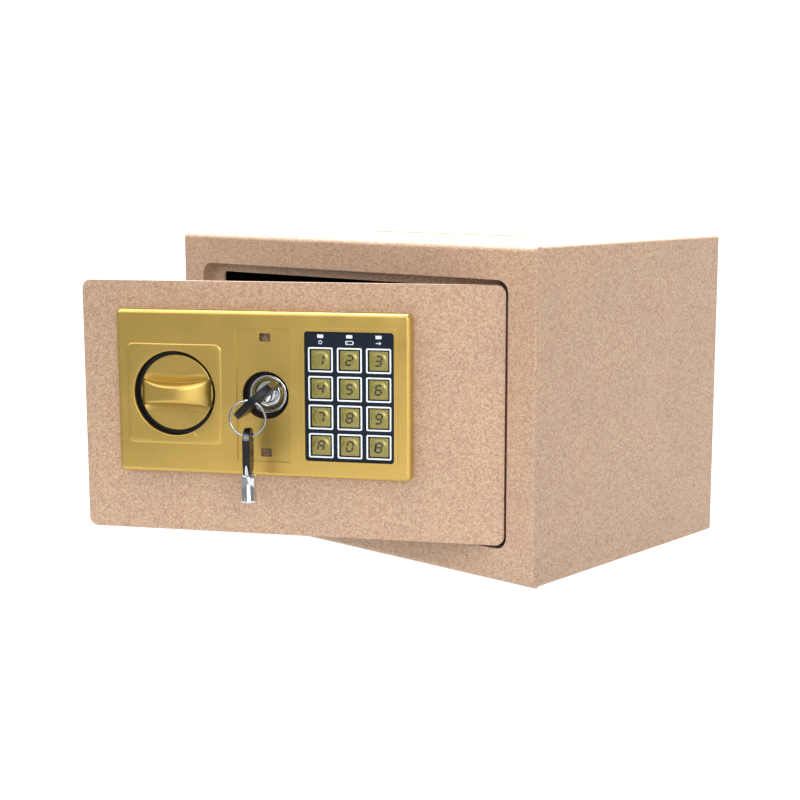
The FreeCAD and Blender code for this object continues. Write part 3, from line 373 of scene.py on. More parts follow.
# Red nylon: an even satin red that marks the reset button.
redNylon = grainyMaterial("red nylon", {"base": "#b3261e", "shade": "#9c1d17", "rough": 0.38, "grain": 0.8,
                                        "ior": 1.53})
# Lead insulation: soft black with a dull shine.
blackPvc = grainyMaterial("black PVC insulation", {"base": "#232326", "shade": "#19191c", "rough": 0.45,
                                                   "grain": 1.0, "ior": 1.53})
# The cells' heat-shrunk wrap: smooth and glossy, dark slate.
cellSleeve = grainyMaterial("shrunk printed sleeve", {"base": "#27313f", "shade": "#202935", "rough": 0.25,
                                                      "grain": 2.0, "bump": 0.05, "coat": 0.6})
# The cells' ends: bright nickel with a light polish.
cellNickel = grainyMaterial("nickel-plated can end", {"base": "#c9cacb", "shade": "#b9babb", "metallic": 1.0,
                                                      "rough": 0.25, "grain": 1.0, "bump": 0.05})


def needleFelt():
    # Needle-punched charcoal felt: short fibres in every direction, with no gloss.
    material, output, at = newMaterial("charcoal needle felt")
    fibres = addNode(material, "ShaderNodeTexNoise", {"Vector": (at, "Object"), "Scale": 900.0, "Detail": 6.0,
                                                      "Roughness": 0.8, "Distortion": 3.0})
    tufts = addNode(material, "ShaderNodeTexNoise", {"Vector": (at, "Object"), "Scale": 170.0, "Detail": 3.0})
    shade = ramp(material, (fibres, 0), [(0.3, colour("#101010")), (0.7, colour("#3a3938"))])
    height = addNode(material, "ShaderNodeMath", {0: (fibres, 0), 1: (tufts, 0)}, operation="ADD")
    bump = addNode(material, "ShaderNodeBump", {"Strength": 0.7, "Distance": 0.0006, "Height": (height, 0)})
    return finishMaterial(material, output, {"Base Color": (shade, 0), "Roughness": 0.95, "Sheen Weight": 0.3,
                                             "Sheen Roughness": 0.5, "Normal": (bump, 0)})


felt = needleFelt()
print("materials made")

# knob: a round dial with two finger hollows and an arched grip across it
knob = {"radius": 23.25, "low": 1.3, "face": 5.3, "edge": 0.45, "hollow": 0.9, "hollowReach": 5.0,
        "crown": 14.5, "arch": 34.7, "waistTop": 5.9, "waistLow": 6.5, "endTop": 9.3, "endLow": 8.9,
        "gripFlat": 19.6, "gripReach": 22.75, "square": 6.0, "draft": 0.5}


def gripEdges(x):
    # how far the grip reaches above and below the knob's middle
    t = (x / knob["gripReach"]) ** 2
    top = knob["waistTop"] + (knob["endTop"] - knob["waistTop"]) * t
    return top, -knob["waistLow"] - (knob["endLow"] - knob["waistLow"]) * t


def knobDial():
    # The face is a polar grid whose height falls by a smooth step towards the grip and comes back at the rim.
    turn = angles(192)
    inner = knob["radius"] - knob["edge"]
    rows = []
    for r in np.linspace(0, inner, 48):
        x, z = r * np.cos(turn), r * np.sin(turn)
        top, low = gripEdges(x)
        near = smoothStep(1 - np.maximum(z - top, low - z) / knob["hollowReach"])
        rows.append((r, knob["face"] - knob["hollow"] * near * (1 - (r / inner) ** 8)))
    arc = np.linspace(0, math.pi / 2, 5)[1:]
    rows += [(inner + knob["edge"] * math.sin(a), knob["face"] - knob["edge"] * (1 - math.cos(a)))
             for a in arc]
    rows += [(knob["radius"], knob["low"] + 0.3), (knob["radius"] - 0.3, knob["low"]), (0, knob["low"])]
    return polarGrid(rows, turn)


def knobGrip():
    # Across: a superellipse from wall to wall.
    # Along: an arch of one radius, rolled down to the rim at its ends.
    x = knob["gripReach"] * np.sin(np.linspace(-math.pi / 2, math.pi / 2, 121))
    foot = knob["face"] - knob["hollow"] - 0.3
    top = knob["crown"] - knob["arch"] + np.sqrt(knob["arch"] ** 2 - x ** 2)
    past = np.clip((np.abs(x) - knob["gripFlat"]) / (knob["gripReach"] - knob["gripFlat"]), 0, 1)
    top = foot + (top - foot) * np.sqrt(np.maximum(1 - past ** 2, 0))
    t = np.linspace(0, math.pi, 61)
    power = 2 / knob["square"]
    across = np.sign(np.cos(t)) * np.abs(np.cos(t)) ** power
    rise = np.abs(np.sin(t)) ** power
    high, low = gripEdges(x)
    half, middle = (high - low)[:, None] / 2 - knob["draft"] * rise, (high + low)[:, None] / 2
    points = (x[:, None], middle + half * across, foot + (top - foot)[:, None] * rise)
    return capped(np.stack(np.broadcast_arrays(*points), -1))


makePiece("knob_dial", [(front(knobDial(), knobAt[0], knobAt[2]), False, True),
                        (front(knobGrip(), knobAt[0], knobAt[2]), False, True)],
          goldPaint, "knob", ["turn_knob"], crease=50)

# the low square plate moulded round the knob's well, its rounded well edge, and the mark beside it
plate = {"width": 60.7, "height": 61.8, "corner": 4.0, "rise": 0.35, "slope": 0.9, "well": 26.0,
         "wellLip": 0.5, "centreDx": 0.0, "centreDz": -0.4, "pipDx": 12.8, "pipDz": -25.2,
         "pipRadius": 1.0, "pipRise": 0.6}


def knobPlate():
    # Rings between a rounded square and the well: a smooth step up, flat, then a quarter round down.
    turn = angles(288)
    shift = np.array([plate["centreDx"], plate["centreDz"]])
    square = roundedRectangle(plate["width"], plate["height"], plate["corner"], 12, 24)
    outer = reach(square + shift, turn)
    rows = [(outer, bezelFace - 0.5)]
    for t in np.linspace(0, 1, 7):
        rows.append((outer - plate["slope"] * t, bezelFace - 0.03 + (plate["rise"] + 0.03) * smoothStep(t)))
    lip = plate["wellLip"]
    inside = plate["well"] - 0.04
    for t in (0.3, 0.6, 1.0):
        rows.append(((outer - plate["slope"]) * (1 - t) + (inside + lip) * t, bezelFace + plate["rise"]))
    for a in np.linspace(0, math.pi / 2, 6)[1:]:
        rows.append((inside + lip * (1 - math.sin(a)), bezelFace + plate["rise"] - lip * (1 - math.cos(a))))
    rows.append((inside, bezelFace - 1.2))
    return polarGrid(rows, turn)


def dome(radius, rise, low, turn):
    # rings of a spherical cap, down to a straight foot
    rows = [(radius * math.sin(a), rise * (math.cos(a))) for a in np.linspace(0, math.pi / 2, 9)]
    return polarGrid(rows + [(radius, low), (0, low)], turn)


pip = dome(plate["pipRadius"], plate["pipRise"], -0.4, angles(24))
pip = front(pip + [0, 0, bezelFace + plate["rise"]], knobAt[0] + plate["pipDx"], knobAt[2] + plate["pipDz"])
makePiece("knob_plate", [(front(knobPlate(), knobAt[0], knobAt[2]), True, True), (pip, False, True)],
          goldPaint, "door", crease=60)
print("knob and its plate made")

# cylinder lock: a turned head with a rolled rim and a dished ring, and the plug with its ring groove
lock = {"head": 12.3, "headHigh": 3.3, "rim": 1.15, "dish": 9.7, "dishHigh": 2.2, "bore": 7.78, "body": 9.5,
        "back": -21.0, "plug": 7.7, "plugHigh": 2.8, "grooveOuter": 4.85, "grooveInner": 3.2,
        "grooveDepth": 11.5, "tail": -23.3, "tailWidth": 6.0}


def lockHead():
    # A lathe profile: body, head, a rolled rim of half-round section, and the bore.
    rim, middle, level = lock["rim"], lock["head"] - lock["rim"], lock["headHigh"] - lock["rim"]
    roll = [(middle + rim * math.cos(a), level + rim * math.sin(a)) for a in np.linspace(0, math.pi, 13)]
    rows = [(lock["bore"], lock["back"]), (lock["body"], lock["back"]), (lock["body"], 0),
            (lock["head"] - 0.2, 0), (lock["head"], 0.2), *roll, (lock["dish"], lock["dishHigh"] - 0.3),
            (lock["bore"], lock["dishHigh"] - 0.7)]
    return polarGrid(rows, angles(96))


def lockDish():
    # a shallow cone between the rim and the plug
    low, high = lock["dishHigh"] - 0.5, lock["dishHigh"]
    rows = [(lock["dish"] + 0.3, low), (lock["dish"] + 0.3, high), (lock["dish"] - 0.4, high - 0.02),
            (lock["bore"] + 0.35, high - 0.3), (lock["bore"] + 0.1, high - 0.42),
            (lock["bore"] + 0.1, low - 0.1)]
    return polarGrid(rows, angles(96))


def lockPlug():
    # A lathe profile with a groove round a middle post, every edge broken by a small chamfer.
    top, deep = lock["plugHigh"], lock["plugHigh"] - lock["grooveDepth"]
    rows = [(0, lock["back"] - 0.3), (lock["plug"], lock["back"] - 0.3), (lock["plug"], top - 0.5)]
    rows += [(lock["plug"] - 0.5 * (1 - math.cos(a)), top - 0.5 * (1 - math.sin(a)))
             for a in np.linspace(0, 1.57, 5)]
    rows += [(lock["grooveOuter"] + 0.3, top), (lock["grooveOuter"], top - 0.3), (lock["grooveOuter"], deep),
             (lock["grooveInner"], deep), (lock["grooveInner"], top - 0.35), (lock["grooveInner"] - 0.3, top),
             (0.9, top), (0.7, top - 0.5), (0, top - 0.5)]
    return polarGrid(rows, angles(96))


tail = roundedRectangle(lock["tailWidth"], lock["tailWidth"], 0.5, 4, 2)
tail = lofted(tail, [(0, lock["back"]), (0, lock["tail"])])
makePiece("lock_head", [(front(lockHead(), lockAt[0], lockAt[2]), True, True)], chromePlate, "door",
          ["lock_cylinder"])
makePiece("lock_dish", [(front(lockDish(), lockAt[0], lockAt[2]), True, True)], dulledRing, "door")
makePiece("lock_core", [(front(lockPlug(), lockAt[0], lockAt[2]), False, True),
                        (front(tail, lockAt[0], lockAt[2]), False, True)], chromePlate, "plug",
          ["lock_plug"])
# painted shade: an L-shaped dark ring between the lock's head and the hole in the panel, for the shadow in that
# gap
gapShadeRing = polarGrid([(12.4, 0), (14.4, 0), (14.4, 7.6), (14.1, 7.6), (13.9, 0.8), (12.4, 0.5)], angles(96))
makePiece("lock_gap_shade", [(front(gapShadeRing, lockAt[0], lockAt[2]), True, True)], gapShadePaint, "door")
print("lock made")

# keys: a moulded bow on a chromed tube, with the core strip showing along the bow's narrow sides
key = {"holeHigh": 34.0, "length": 27.0, "width": 28.0, "thick": 4.3, "shoulder": 17.0, "inset": 4.7,
       "hole": 2.8, "edge": 0.55, "crown": 5.0, "barrel": 4.7, "bore": 3.4, "barrelLong": 17.0, "strip": 2.0,
       "stripLong": 10.0, "turn": 42.0}
ringLook = {"radius": 10.4, "wireWide": 0.66, "wireThick": 0.36, "turn": 13.0, "offset": 2.9}


def arcThrough(a, b, c, count):
    # circle through three points, from a to c
    a, b, c = (np.array(p, float) for p in (a, b, c))
    m = 2 * np.array([b - a, c - a])
    centre = np.linalg.solve(m, [b @ b - a @ a, c @ c - a @ a])
    turns = np.unwrap([math.atan2(*(p - centre)[::-1]) for p in (a, b, c)])
    turn = np.linspace(turns[0], turns[2], count)
    return centre + np.linalg.norm(a - centre) * np.stack([np.cos(turn), np.sin(turn)], -1)


def bowOutline():
    # shoulders that widen by arcs, straight sides, and an arched outer end, about the ring hole
    half, shoulder, top = key["width"] / 2, key["shoulder"] / 2, key["inset"]
    low = top - key["length"]
    right = arcThrough((shoulder, low), (half - 1.2, low + 3.6), (half, low + 9.0), 14)
    over = arcThrough((half, top - key["crown"]), (0, top), (-half, top - key["crown"]), 40)
    left = right[::-1] * [-1, 1]
    base = np.linspace((-shoulder, low), (shoulder, low), 13)[1:-1]
    side = np.linspace(right[-1], over[0], 9)[1:-1]
    return np.concatenate([right, side, over, side[::-1] * [-1, 1], left, base])


def keyBow():
    # Rings from the hole out over one face, round the edge, and back over the other: a closed loop of rows.
    outline = bowOutline()
    normal = outwards(outline)
    at = np.arctan2(outline[:, 1], outline[:, 0])
    hole = np.stack([np.cos(at), np.sin(at)], -1)
    half, edge, bore = key["thick"] / 2, key["edge"], key["hole"]
    rows = [(hole * bore, 0), (hole * bore, half - 0.4), (hole * (bore + 0.12), half - 0.12),
            (hole * (bore + 0.4), half)]
    inner = outline - normal * edge
    rows += [(hole * (bore + 0.4) * (1 - t) + inner * t, half) for t in (0.25, 0.5, 0.75)]
    rows += [(outline - normal * edge * (1 - math.sin(a)), half - edge * (1 - math.cos(a)))
             for a in np.linspace(0, math.pi / 2, 5)]
    rows += [(points, -height) for points, height in rows[::-1] if height > 0]
    return np.stack([np.column_stack([points[:, 0], np.full(len(points), height), points[:, 1]])
                     for points, height in rows])


def keyBarrel():
    # A lathe profile: domed shoulder, straight tube, a rolled end, and the bore.
    low = key["inset"] - key["length"]
    end, r = low - key["barrelLong"], key["barrel"]
    rows = [(0, low + 0.5), (2.3, low + 0.5), (2.9, low + 0.1)]
    rows += [(2.9 + (r - 2.9) * math.sin(a), low + 0.1 - 2.6 * (1 - math.cos(a)))
             for a in np.linspace(0, 1.57, 8)[1:]]
    rows += [(r, end + 1.9), (r + 0.18, end + 1.6), (r + 0.18, end + 0.5), (r, end + 0.2), (r - 0.3, end),
             (key["bore"] + 0.2, end), (key["bore"], end + 0.3), (key["bore"], low - 2.5), (0, low - 2.5)]
    return polarGrid(rows, angles(64))


def keyStrips():
    # The core plate's edge: a flat strip up each side of the bow from the shoulder, tapering out.
    outline = bowOutline()[:14]
    along = np.concatenate([[0], np.cumsum(np.linalg.norm(np.diff(outline, axis=0), axis=1))])
    step = np.linspace(0, key["stripLong"], 24)
    grids = []
    for side in (1, -1):
        path = np.stack([side * (np.interp(step, along, outline[:, 0]) + 0.06), np.zeros(24),
                         np.interp(step, along, outline[:, 1])], -1)
        wide = key["strip"] / 2 * np.sqrt(np.clip(1 - (step / key["stripLong"]) ** 3, 0.002, 1))
        profile = np.array([(-0.4, -1), (0.05, -1), (0.12, -0.8), (0.12, 0.8), (0.05, 1), (-0.4, 1)])
        grid = path[:, None] + np.stack([np.broadcast_to(profile[:, 0] * side, (24, 6)),
                                         wide[:, None] * profile[:, 1], np.zeros((24, 6))], -1)
        grids.append(capped(grid))
    return grids


def keyNibs():
    # two small locating nibs at the end of the tube
    end = key["inset"] - key["length"] - key["barrelLong"]
    nib = lofted(roundedRectangle(1.6, 1.5, 0.3, 4, 2), roundedSteps(4.2, 5.15, 0.25))
    return [np.stack([side * nib[..., 2], nib[..., 0], nib[..., 1] + end + 1.1], -1) for side in (1, -1)]


def addKey(name, base, side, along, body, bowNode, barrelNode):
    cross = np.cross(along, side)
    makePiece(name + "_bow_moulding", [(aimed(keyBow(), base, side, cross, along), True, True)], blackAbs,
              body, [bowNode], crease=50)
    tube = [(aimed(keyBarrel(), base, side, cross, along), False, True)]
    tube += [(aimed(grid, base, side, cross, along), False, True) for grid in keyStrips() + keyNibs()]
    makePiece(name + "_tube", tube, chromePlate, body, [barrelNode])


def splitRing(centre, normal, level):
    # Two turns of flat wire side by side: a helix that steps sideways over a short arc, with rounded section.
    turn = np.linspace(0.15, 4 * math.pi - 0.15, 240) + math.radians(200)
    middle = 2 * math.pi + math.radians(200)
    shift = ringLook["wireThick"] * (2 * smoothStep((turn - middle) / 0.9 + 0.5) - 1)
    spoke = np.cos(turn)[:, None] * level + np.sin(turn)[:, None] * np.array([0, 0, 1.0])
    path = centre + ringLook["radius"] * spoke
    path = path + shift[:, None] * normal
    t = angles(14)
    profile = np.stack([ringLook["wireWide"] * np.sign(np.cos(t)) * np.abs(np.cos(t)) ** 0.7,
                        (ringLook["wireThick"] - 0.02) * np.sign(np.sin(t)) * np.abs(np.sin(t)) ** 0.7], -1)
    return capped(carried(path, profile, normal, False))


lean = math.radians(ringLook["turn"])
ringNormal = np.array([math.sin(lean), -math.cos(lean), 0])
ringLevel = np.array([math.cos(lean), math.sin(lean), 0])
holeAt = np.array([lockAt[0], faceY - key["holeHigh"], lockAt[2]])
drop = math.sqrt(ringLook["radius"] ** 2 - ringLook["offset"] ** 2)
ringCentre = holeAt - ringLook["offset"] * ringLevel - np.array([0, 0, drop])
bowTurn = math.radians(key["turn"])
addKey("key_1", holeAt, (-math.cos(bowTurn), 0, -math.sin(bowTurn)), (0, -1, 0), "key_1", "key_1_bow",
       "key_1_barrel")
addKey("key_2", ringCentre - np.array([0, 0, ringLook["radius"]]), ringNormal, (0, 0, 1), "key_2",
       "key_2_bow", "key_2_barrel")
makePiece("split_ring", [(splitRing(ringCentre, ringNormal, ringLevel), False, True)], nickelWire, "ring",
          ["key_ring"], crease=60)
print("keys and ring made")

# keypad: domed buttons with slanted seven-bar figures, printed frames and light windows
pad = {"size": 11.5, "corner": 0.8, "foot": 4.4, "flange": 0.95, "flangeTop": 6.2, "flat": 7.85,
       "domeRise": 0.55, "domeRadius": 5.35, "domeFlat": 3.7, "frameWide": 15.2, "frameHigh": 14.9,
       "frameLine": 0.95, "filmTop": 8.0, "ink": 0.04}
figure = {"wide": 3.5, "high": 5.6, "stroke": 0.95, "slant": 0.19, "gap": 0.12}
barsOf = {"1": "bc", "2": "abged", "3": "abgcd", "4": "fgbc", "5": "afgcd", "6": "afgecd", "7": "abc",
          "8": "abcdefg", "9": "abcdfg", "a": "abcefg", "0": "abcdef", "b": "abcdefgB"}


def buttonCap():
    # Rings from the foot's flange up the square side, over its edge, and in to a low round dome.
    turn = angles(160)
    square = roundedRectangle(pad["size"], pad["size"], pad["corner"], 8, 16)
    side = reach(square, turn)
    flange = reach(square * (1 + 2 * pad["flange"] / pad["size"]), turn)
    flat = pad["flat"]
    rows = [(0, pad["foot"]), (flange, pad["foot"]), (flange, pad["flangeTop"]), (side, pad["flangeTop"]),
            (side, flat - 0.25), (side - 0.08, flat - 0.07), (side - 0.25, flat)]
    rows += [((side - 0.25) * (1 - t) + pad["domeRadius"] * t, flat) for t in (0.5, 1.0)]
    slope = pad["domeRadius"] - pad["domeFlat"]
    for r in np.linspace(pad["domeRadius"], 0, 22)[1:]:
        rows.append((r, flat + pad["domeRise"] * smoothStep((pad["domeRadius"] - r) / slope)))
    return polarGrid(rows, turn)


def bar(a, b):
    # a straight bar with pointed ends from a to b, slanted as italic figures are
    a, b = np.array(a, float), np.array(b, float)
    ahead = (b - a) / np.linalg.norm(b - a)
    across = np.array([-ahead[1], ahead[0]]) * figure["stroke"] / 2
    a, b = a + ahead * figure["gap"], b - ahead * figure["gap"]
    nose = ahead * figure["stroke"] / 2
    outline = np.array([a, a + nose - across, b - nose - across, b, b - nose + across, a + nose + across])
    outline = outline + np.stack([figure["slant"] * outline[:, 1], np.zeros(6)], -1)
    top = pad["flat"] + pad["domeRise"]
    return lofted(outline, [(0, top - 0.15), (0, top + pad["ink"])])


def figureBars(name):
    x, z = figure["wide"] / 2, figure["high"] / 2
    ends = {"a": ((-x, z), (x, z)), "b": ((x, z), (x, 0)), "c": ((x, 0), (x, -z)), "d": ((-x, -z), (x, -z)),
            "e": ((-x, 0), (-x, -z)), "f": ((-x, z), (-x, 0)), "g": ((-x, 0), (x, 0)),
            "B": ((-x - 0.45, z), (-x - 0.45, -z))}
    return [bar(*ends[letter]) for letter in barsOf[name]]


for name in barsOf:
    middle = centreOf("keypad_button_" + name)
    makePiece("button_cap_" + name, [(front(buttonCap(), middle[0], middle[2]), False, True)], keyGold,
              "button_" + name, ["keypad_button_" + name], crease=60)
    bars = [(front(grid, middle[0], middle[2]), False, True) for grid in figureBars(name)]
    makePiece("button_figure_" + name, bars, navyInk, "button_" + name)


def inkLine(path, width, closed=True):
    # a flat strip of ink carried along a path on the film
    path = np.column_stack([path, np.full(len(path), pad["filmTop"])])
    half = width / 2
    profile = np.array([(-half, -0.1), (half, -0.1), (half, pad["ink"]), (-half, pad["ink"])])
    grid = carried(path, profile, np.array([0, 0, 1.0]), closed)
    return grid if closed else capped(grid)


lamps = {"z": 146.0, "pitch": 17.75, "wide": 3.8, "high": 2.1, "low": 6.5, "top": 8.15}
marks = {"z": 142.35, "line": 0.42}
inkPieces = []
for name in barsOf:
    middle = centreOf("keypad_button_" + name)
    line = pad["frameLine"]
    outline = roundedRectangle(pad["frameWide"] - line, pad["frameHigh"] - line, 0.5, 5, 6)
    inkPieces.append((front(inkLine(outline, line), middle[0], middle[2]), True, True))
# plain signs in place of words: a ring for ready, a battery outline, and an arrow
ringSign = 0.95 * np.stack([np.cos(angles(24)), np.sin(angles(24))], -1)
batterySign = roundedRectangle(4.4, 1.9, 0.3, 4, 4)
arrowSign = np.array([(-1.6, 0), (1.2, 0)]), np.array([(0.3, 0.9), (1.5, 0), (0.3, -0.9)])
terminalSign = np.array([(2.55, -0.45), (2.55, 0.45)])
levelSign = np.array([(-1.35, -0.5), (-1.35, 0.5)])
signs = {-1: [(ringSign, True)], 0: [(batterySign, True), (terminalSign, False), (levelSign, False)],
         1: [(arrowSign[0], False), (arrowSign[1], False)]}
for step, shapes in signs.items():
    for path, closed in shapes:
        grid = front(inkLine(path, marks["line"], closed), padAt[0] + step * lamps["pitch"], marks["z"])
        inkPieces.append((grid, closed, True))
makePiece("keypad_print", inkPieces, whiteInk, "door")
lens = lofted(roundedRectangle(lamps["wide"], lamps["high"], 0.35, 5, 3),
              roundedSteps(lamps["low"], lamps["top"], 0.25))
makePiece("lamp_windows", [(front(lens, padAt[0] + step * lamps["pitch"], lamps["z"]), False, True)
                           for step in (-1, 0, 1)], lampAcrylic, "door", ["indicator_lights"])
print("keypad made")

# screws: pan heads with a cross recess
screw = {"head": 3.8, "rise": 2.2, "slotHalf": 0.45, "slotLong": 2.1, "slotDeep": 1.3}


def screwHead(radius, rise):
    # a shallow dome on a polar grid, lowered inside a cross that narrows with depth
    turn = angles(96)
    rows = [(0, -0.3), (radius - 0.2, -0.3), (radius, 0)]
    for r in np.linspace(radius, 0, 26):
        u, v = np.abs(r * np.cos(turn)), np.abs(r * np.sin(turn))
        narrow, far = np.minimum(u, v), np.maximum(u, v)
        inside = smoothStep((screw["slotHalf"] - narrow) / 0.15) * smoothStep((screw["slotLong"] - far) / 0.3)
        rows.append((r, rise * np.sqrt(1 - 0.75 * (r / radius) ** 2) - screw["slotDeep"] * inside))
    return polarGrid(rows, turn)


def backward(grid, x, z, y):
    # (across, up, height behind the door) to the shut door
    return np.stack([x + grid[..., 0], y + grid[..., 2], z + grid[..., 1]], -1)


screwLow, screwHigh = shutBox("cover_screws")
coverY = screwHigh[1] - screw["rise"]
places = [(x, z) for x in (screwLow[0] + screw["head"], screwHigh[0] - screw["head"])
          for z in (screwLow[2] + screw["head"], screwHigh[2] - screw["head"])]
shank = polarGrid([(0, -9), (1.6, -9), (2.0, -8.4), (2.0, 0), (0, 0)], angles(24))
heads, shanks = ([(backward(grid, x, z, coverY), False, True) for x, z in places]
                 for grid in (screwHead(screw["head"], screw["rise"]), shank))
makePiece("cover_screw_heads", heads + shanks, zincPlate, "door", ["cover_screws"])

# the solenoid's return spring: round wire on a helix, closed at both ends
spring = {"radius": 5.05, "wire": 0.5, "turns": 6.5}
springLow, springHigh = shutBox("solenoid_spring")
springAt = (springLow + springHigh) / 2
t = np.linspace(0, 1, 420)
pitch = smoothStep(t) * 0.45 + t * 0.55
turn = 2 * math.pi * spring["turns"] * t
height = springHigh[2] - springLow[2]
path = np.stack([springAt[0] + spring["radius"] * np.cos(turn), springAt[1] + spring["radius"] * np.sin(turn),
                 springLow[2] + spring["wire"] + (height - 2 * spring["wire"]) * pitch], -1)
wire = spring["wire"] * np.stack([np.cos(angles(10)), np.sin(angles(10))], -1)
coil = capped(carried(path, wire, np.array([0, 0, 1.0]), False))
coil = makePiece("return_spring", [(coil, False, True)], boltSteel, "door", ["solenoid_spring"],
                 crease=80)
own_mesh(coil)

# AA cells: a sleeve with rolled-over shoulders, and the can's ends
cell = {"radius": 7.1, "long": 49.5, "cap": 2.7, "capHigh": 1.2}
cellLow, cellHigh = shutBox("batteries")
sleeves, ends = [], []
for k in range(4):
    x = cellLow[0] + cell["radius"] + k * (cellHigh[0] - cellLow[0] - 2 * cell["radius"]) / 3
    y, z = (cellLow[1] + cellHigh[1]) / 2, (cellLow[2] + cellHigh[2]) / 2
    up = 1 if k % 2 == 0 else -1
    half, r = cell["long"] / 2, cell["radius"]
    top = half - cell["capHigh"]
    sleeve = polarGrid([(r - 1.2, -half), (r - 0.35, -half), (r, -half + 0.35), (r, top - 0.35),
                        (r - 0.35, top), (r - 1.6, top), (r - 1.6, top - 0.3), (r - 1.2, -half + 0.4)],
                       angles(48))
    end = polarGrid([(0, -half + 0.05), (r - 1.0, -half + 0.05), (r - 1.0, top - 0.1),
                     (cell["cap"] + 0.1, top - 0.1), (cell["cap"], half - 0.3), (cell["cap"] - 0.3, half),
                     (0, half)], angles(48))
    sleeves.append((aimed(sleeve, (x, y, z), (1, 0, 0), (0, up, 0), (0, 0, up)), True, True))
    ends.append((aimed(end, (x, y, z), (1, 0, 0), (0, up, 0), (0, 0, up)), False, True))
makePiece("cell_sleeves", sleeves, cellSleeve, "door", ["batteries"])
makePiece("cell_ends", ends, cellNickel, "door")

# reset button: a domed red cap on its stem
resetLow, resetHigh = shutBox("reset_button")
resetAt = (resetLow + resetHigh) / 2
resetLong = resetHigh[1] - resetLow[1]
stem = polarGrid([(0, 0), (4.4, 0), (4.5, 0.1), (4.5, 1.2), (3.0, 1.2), (3.0, resetLong - 0.6),
                  (2.8, resetLong - 0.2), (2.3, resetLong), (0, resetLong)], angles(40))
makePiece("reset_cap", [(backward(stem, resetAt[0], resetAt[2], resetLow[1]), False, True)], redNylon,
          "reset", ["reset_button"])
print("screws, spring, cells and reset button made")

# floor mat: a felt pad with soft edges, slightly uneven, cut out over the two floor anchors
mat = {"edge": 0.9, "cut": 10.0, "cutX": 100.0, "wave": 0.12, "waveX": 17.0, "waveY": 13.0}


def feltMat():
    low, high = (np.array(corner) * 1000 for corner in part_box("floor_mat"))
    size, middle = high - low, (low + high) / 2
    # rows run from the bottom round the edge and over the top; the top rises and falls by a slow wave
    outline = roundedRectangle(size[0], size[1], 2.0, 6, 60)
    steps = [(0.3, 0), (0, 0.3)] + roundedSteps(0.4, size[2], mat["edge"], 4)[1:]
    rings = lofted(outline, steps)
    rings[..., :2] += middle[:2]
    rings[..., 2] += low[2]
    top = rings[-2]
    inner = [middle + (top - middle) * [s, s, 1] for s in np.linspace(0.97, 0, 30)]
    for ring in inner:
        swell = np.sin(ring[:, 0] / mat["waveX"]) * np.cos(ring[:, 1] / mat["waveY"])
        ring[:, 2] = high[2] - mat["wave"] * (0.5 + 0.5 * swell)
    rings = np.concatenate([rings[:-1], np.stack(inner)])
    piece = makePiece("felt_mat", [(rings, False, True)], felt, "cabinet", ["floor_mat"],
                      swung=False)
    for side in (-1, 1):
        plug = polarGrid([(0, -3), (mat["cut"], -3), (mat["cut"], 6), (0, 6)], angles(48))
        plug = plug + [side * mat["cutX"], 0, low[2]]
        cutter = makePiece("cutter", [(plug, False, True)], felt, "cabinet", swung=False)
        cut = piece.modifiers.new("anchor cut-out", "BOOLEAN")
        cut.object, cut.operation, cut.solver = cutter, "DIFFERENCE", "EXACT"
        bpy.context.view_layer.objects.active = piece
        bpy.ops.object.modifier_apply(modifier=cut.name)
        bpy.data.objects.remove(cutter)


feltMat()
print("mat made")

# CAD nodes and their finish
finishes = {
    hammeredTan: ["cabinet_wrap", "front_frame", "rear_panel", "door_plate"],
    blackCoatAndWellShade: ["door_inner_cover", "hinge_pins"],
    goldPaint: ["lock_bezel"],
    navyFilm: ["keypad_overlay"],
    zincPlate: ["bezel_screws", "carriage_studs", "bolt_guide", "solenoid_yoke", "lock_nut", "cover_posts",
                "battery_contacts", "knob_spindle", "drive_crank", "bolt_carriage", "plunger_pin", "lock_cam",
                "cam_screw"],
    boltSteel: ["locking_bolts", "solenoid_plunger"],
    blackNylon: ["hinge_bushes"],
    turnedBrass: ["knob_bush"],
    boardGreen: ["keypad_board", "main_board"],
    chipBlack: ["board_components", "battery_holder", "battery_lid"],
    coilTape: ["solenoid_coil"],
    blackPvc: ["keypad_cable", "internal_leads"],
}
for material, members in finishes.items():
    for name in members:
        nodes[name].data.materials.clear()
        nodes[name].data.materials.append(material)


def blackLiningAndWellShade(name, test):
    # faces whose middle passes the test take the black coat: a black lining inside the cabinet, and painted
    # shade in the knob's well
    mesh = nodes[name].data
    middle = np.empty(len(mesh.polygons) * 3)
    mesh.polygons.foreach_get("center", middle)
    mesh.materials.append(blackCoatAndWellShade)
    chosen = test(*(middle.reshape(-1, 3).T * 1000)).astype(np.int32)
    mesh.polygons.foreach_set("material_index", chosen)


def nearKnob(x, y, z, reach):
    # inside the given radius about the knob's axis
    shut = swing(np.stack([x, y, z], -1), -door["openAngle"])
    away = np.hypot(shut[:, 0] - knobAt[0], shut[:, 2] - knobAt[2])
    return (away < reach) & (shut[:, 1] > faceY - bezelFace + 1.5)


# painted shade: the gold well round the knob turns black below the panel's face, for the deep shadow in the gap
# round the dial
blackLiningAndWellShade("lock_bezel", lambda x, y, z: nearKnob(x, y, z, plate["well"] + 0.1))
blackLiningAndWellShade("cabinet_wrap", lambda x, y, z: (np.abs(x) < 153.8) & (z > 1.2) & (z < 198.8))
blackLiningAndWellShade("rear_panel", lambda x, y, z: (y < 98.2) & (np.abs(x) < 153) & (z > 2) & (z < 198))
blackLiningAndWellShade("front_frame", lambda x, y, z: y > -88.7)
print("CAD nodes finished")

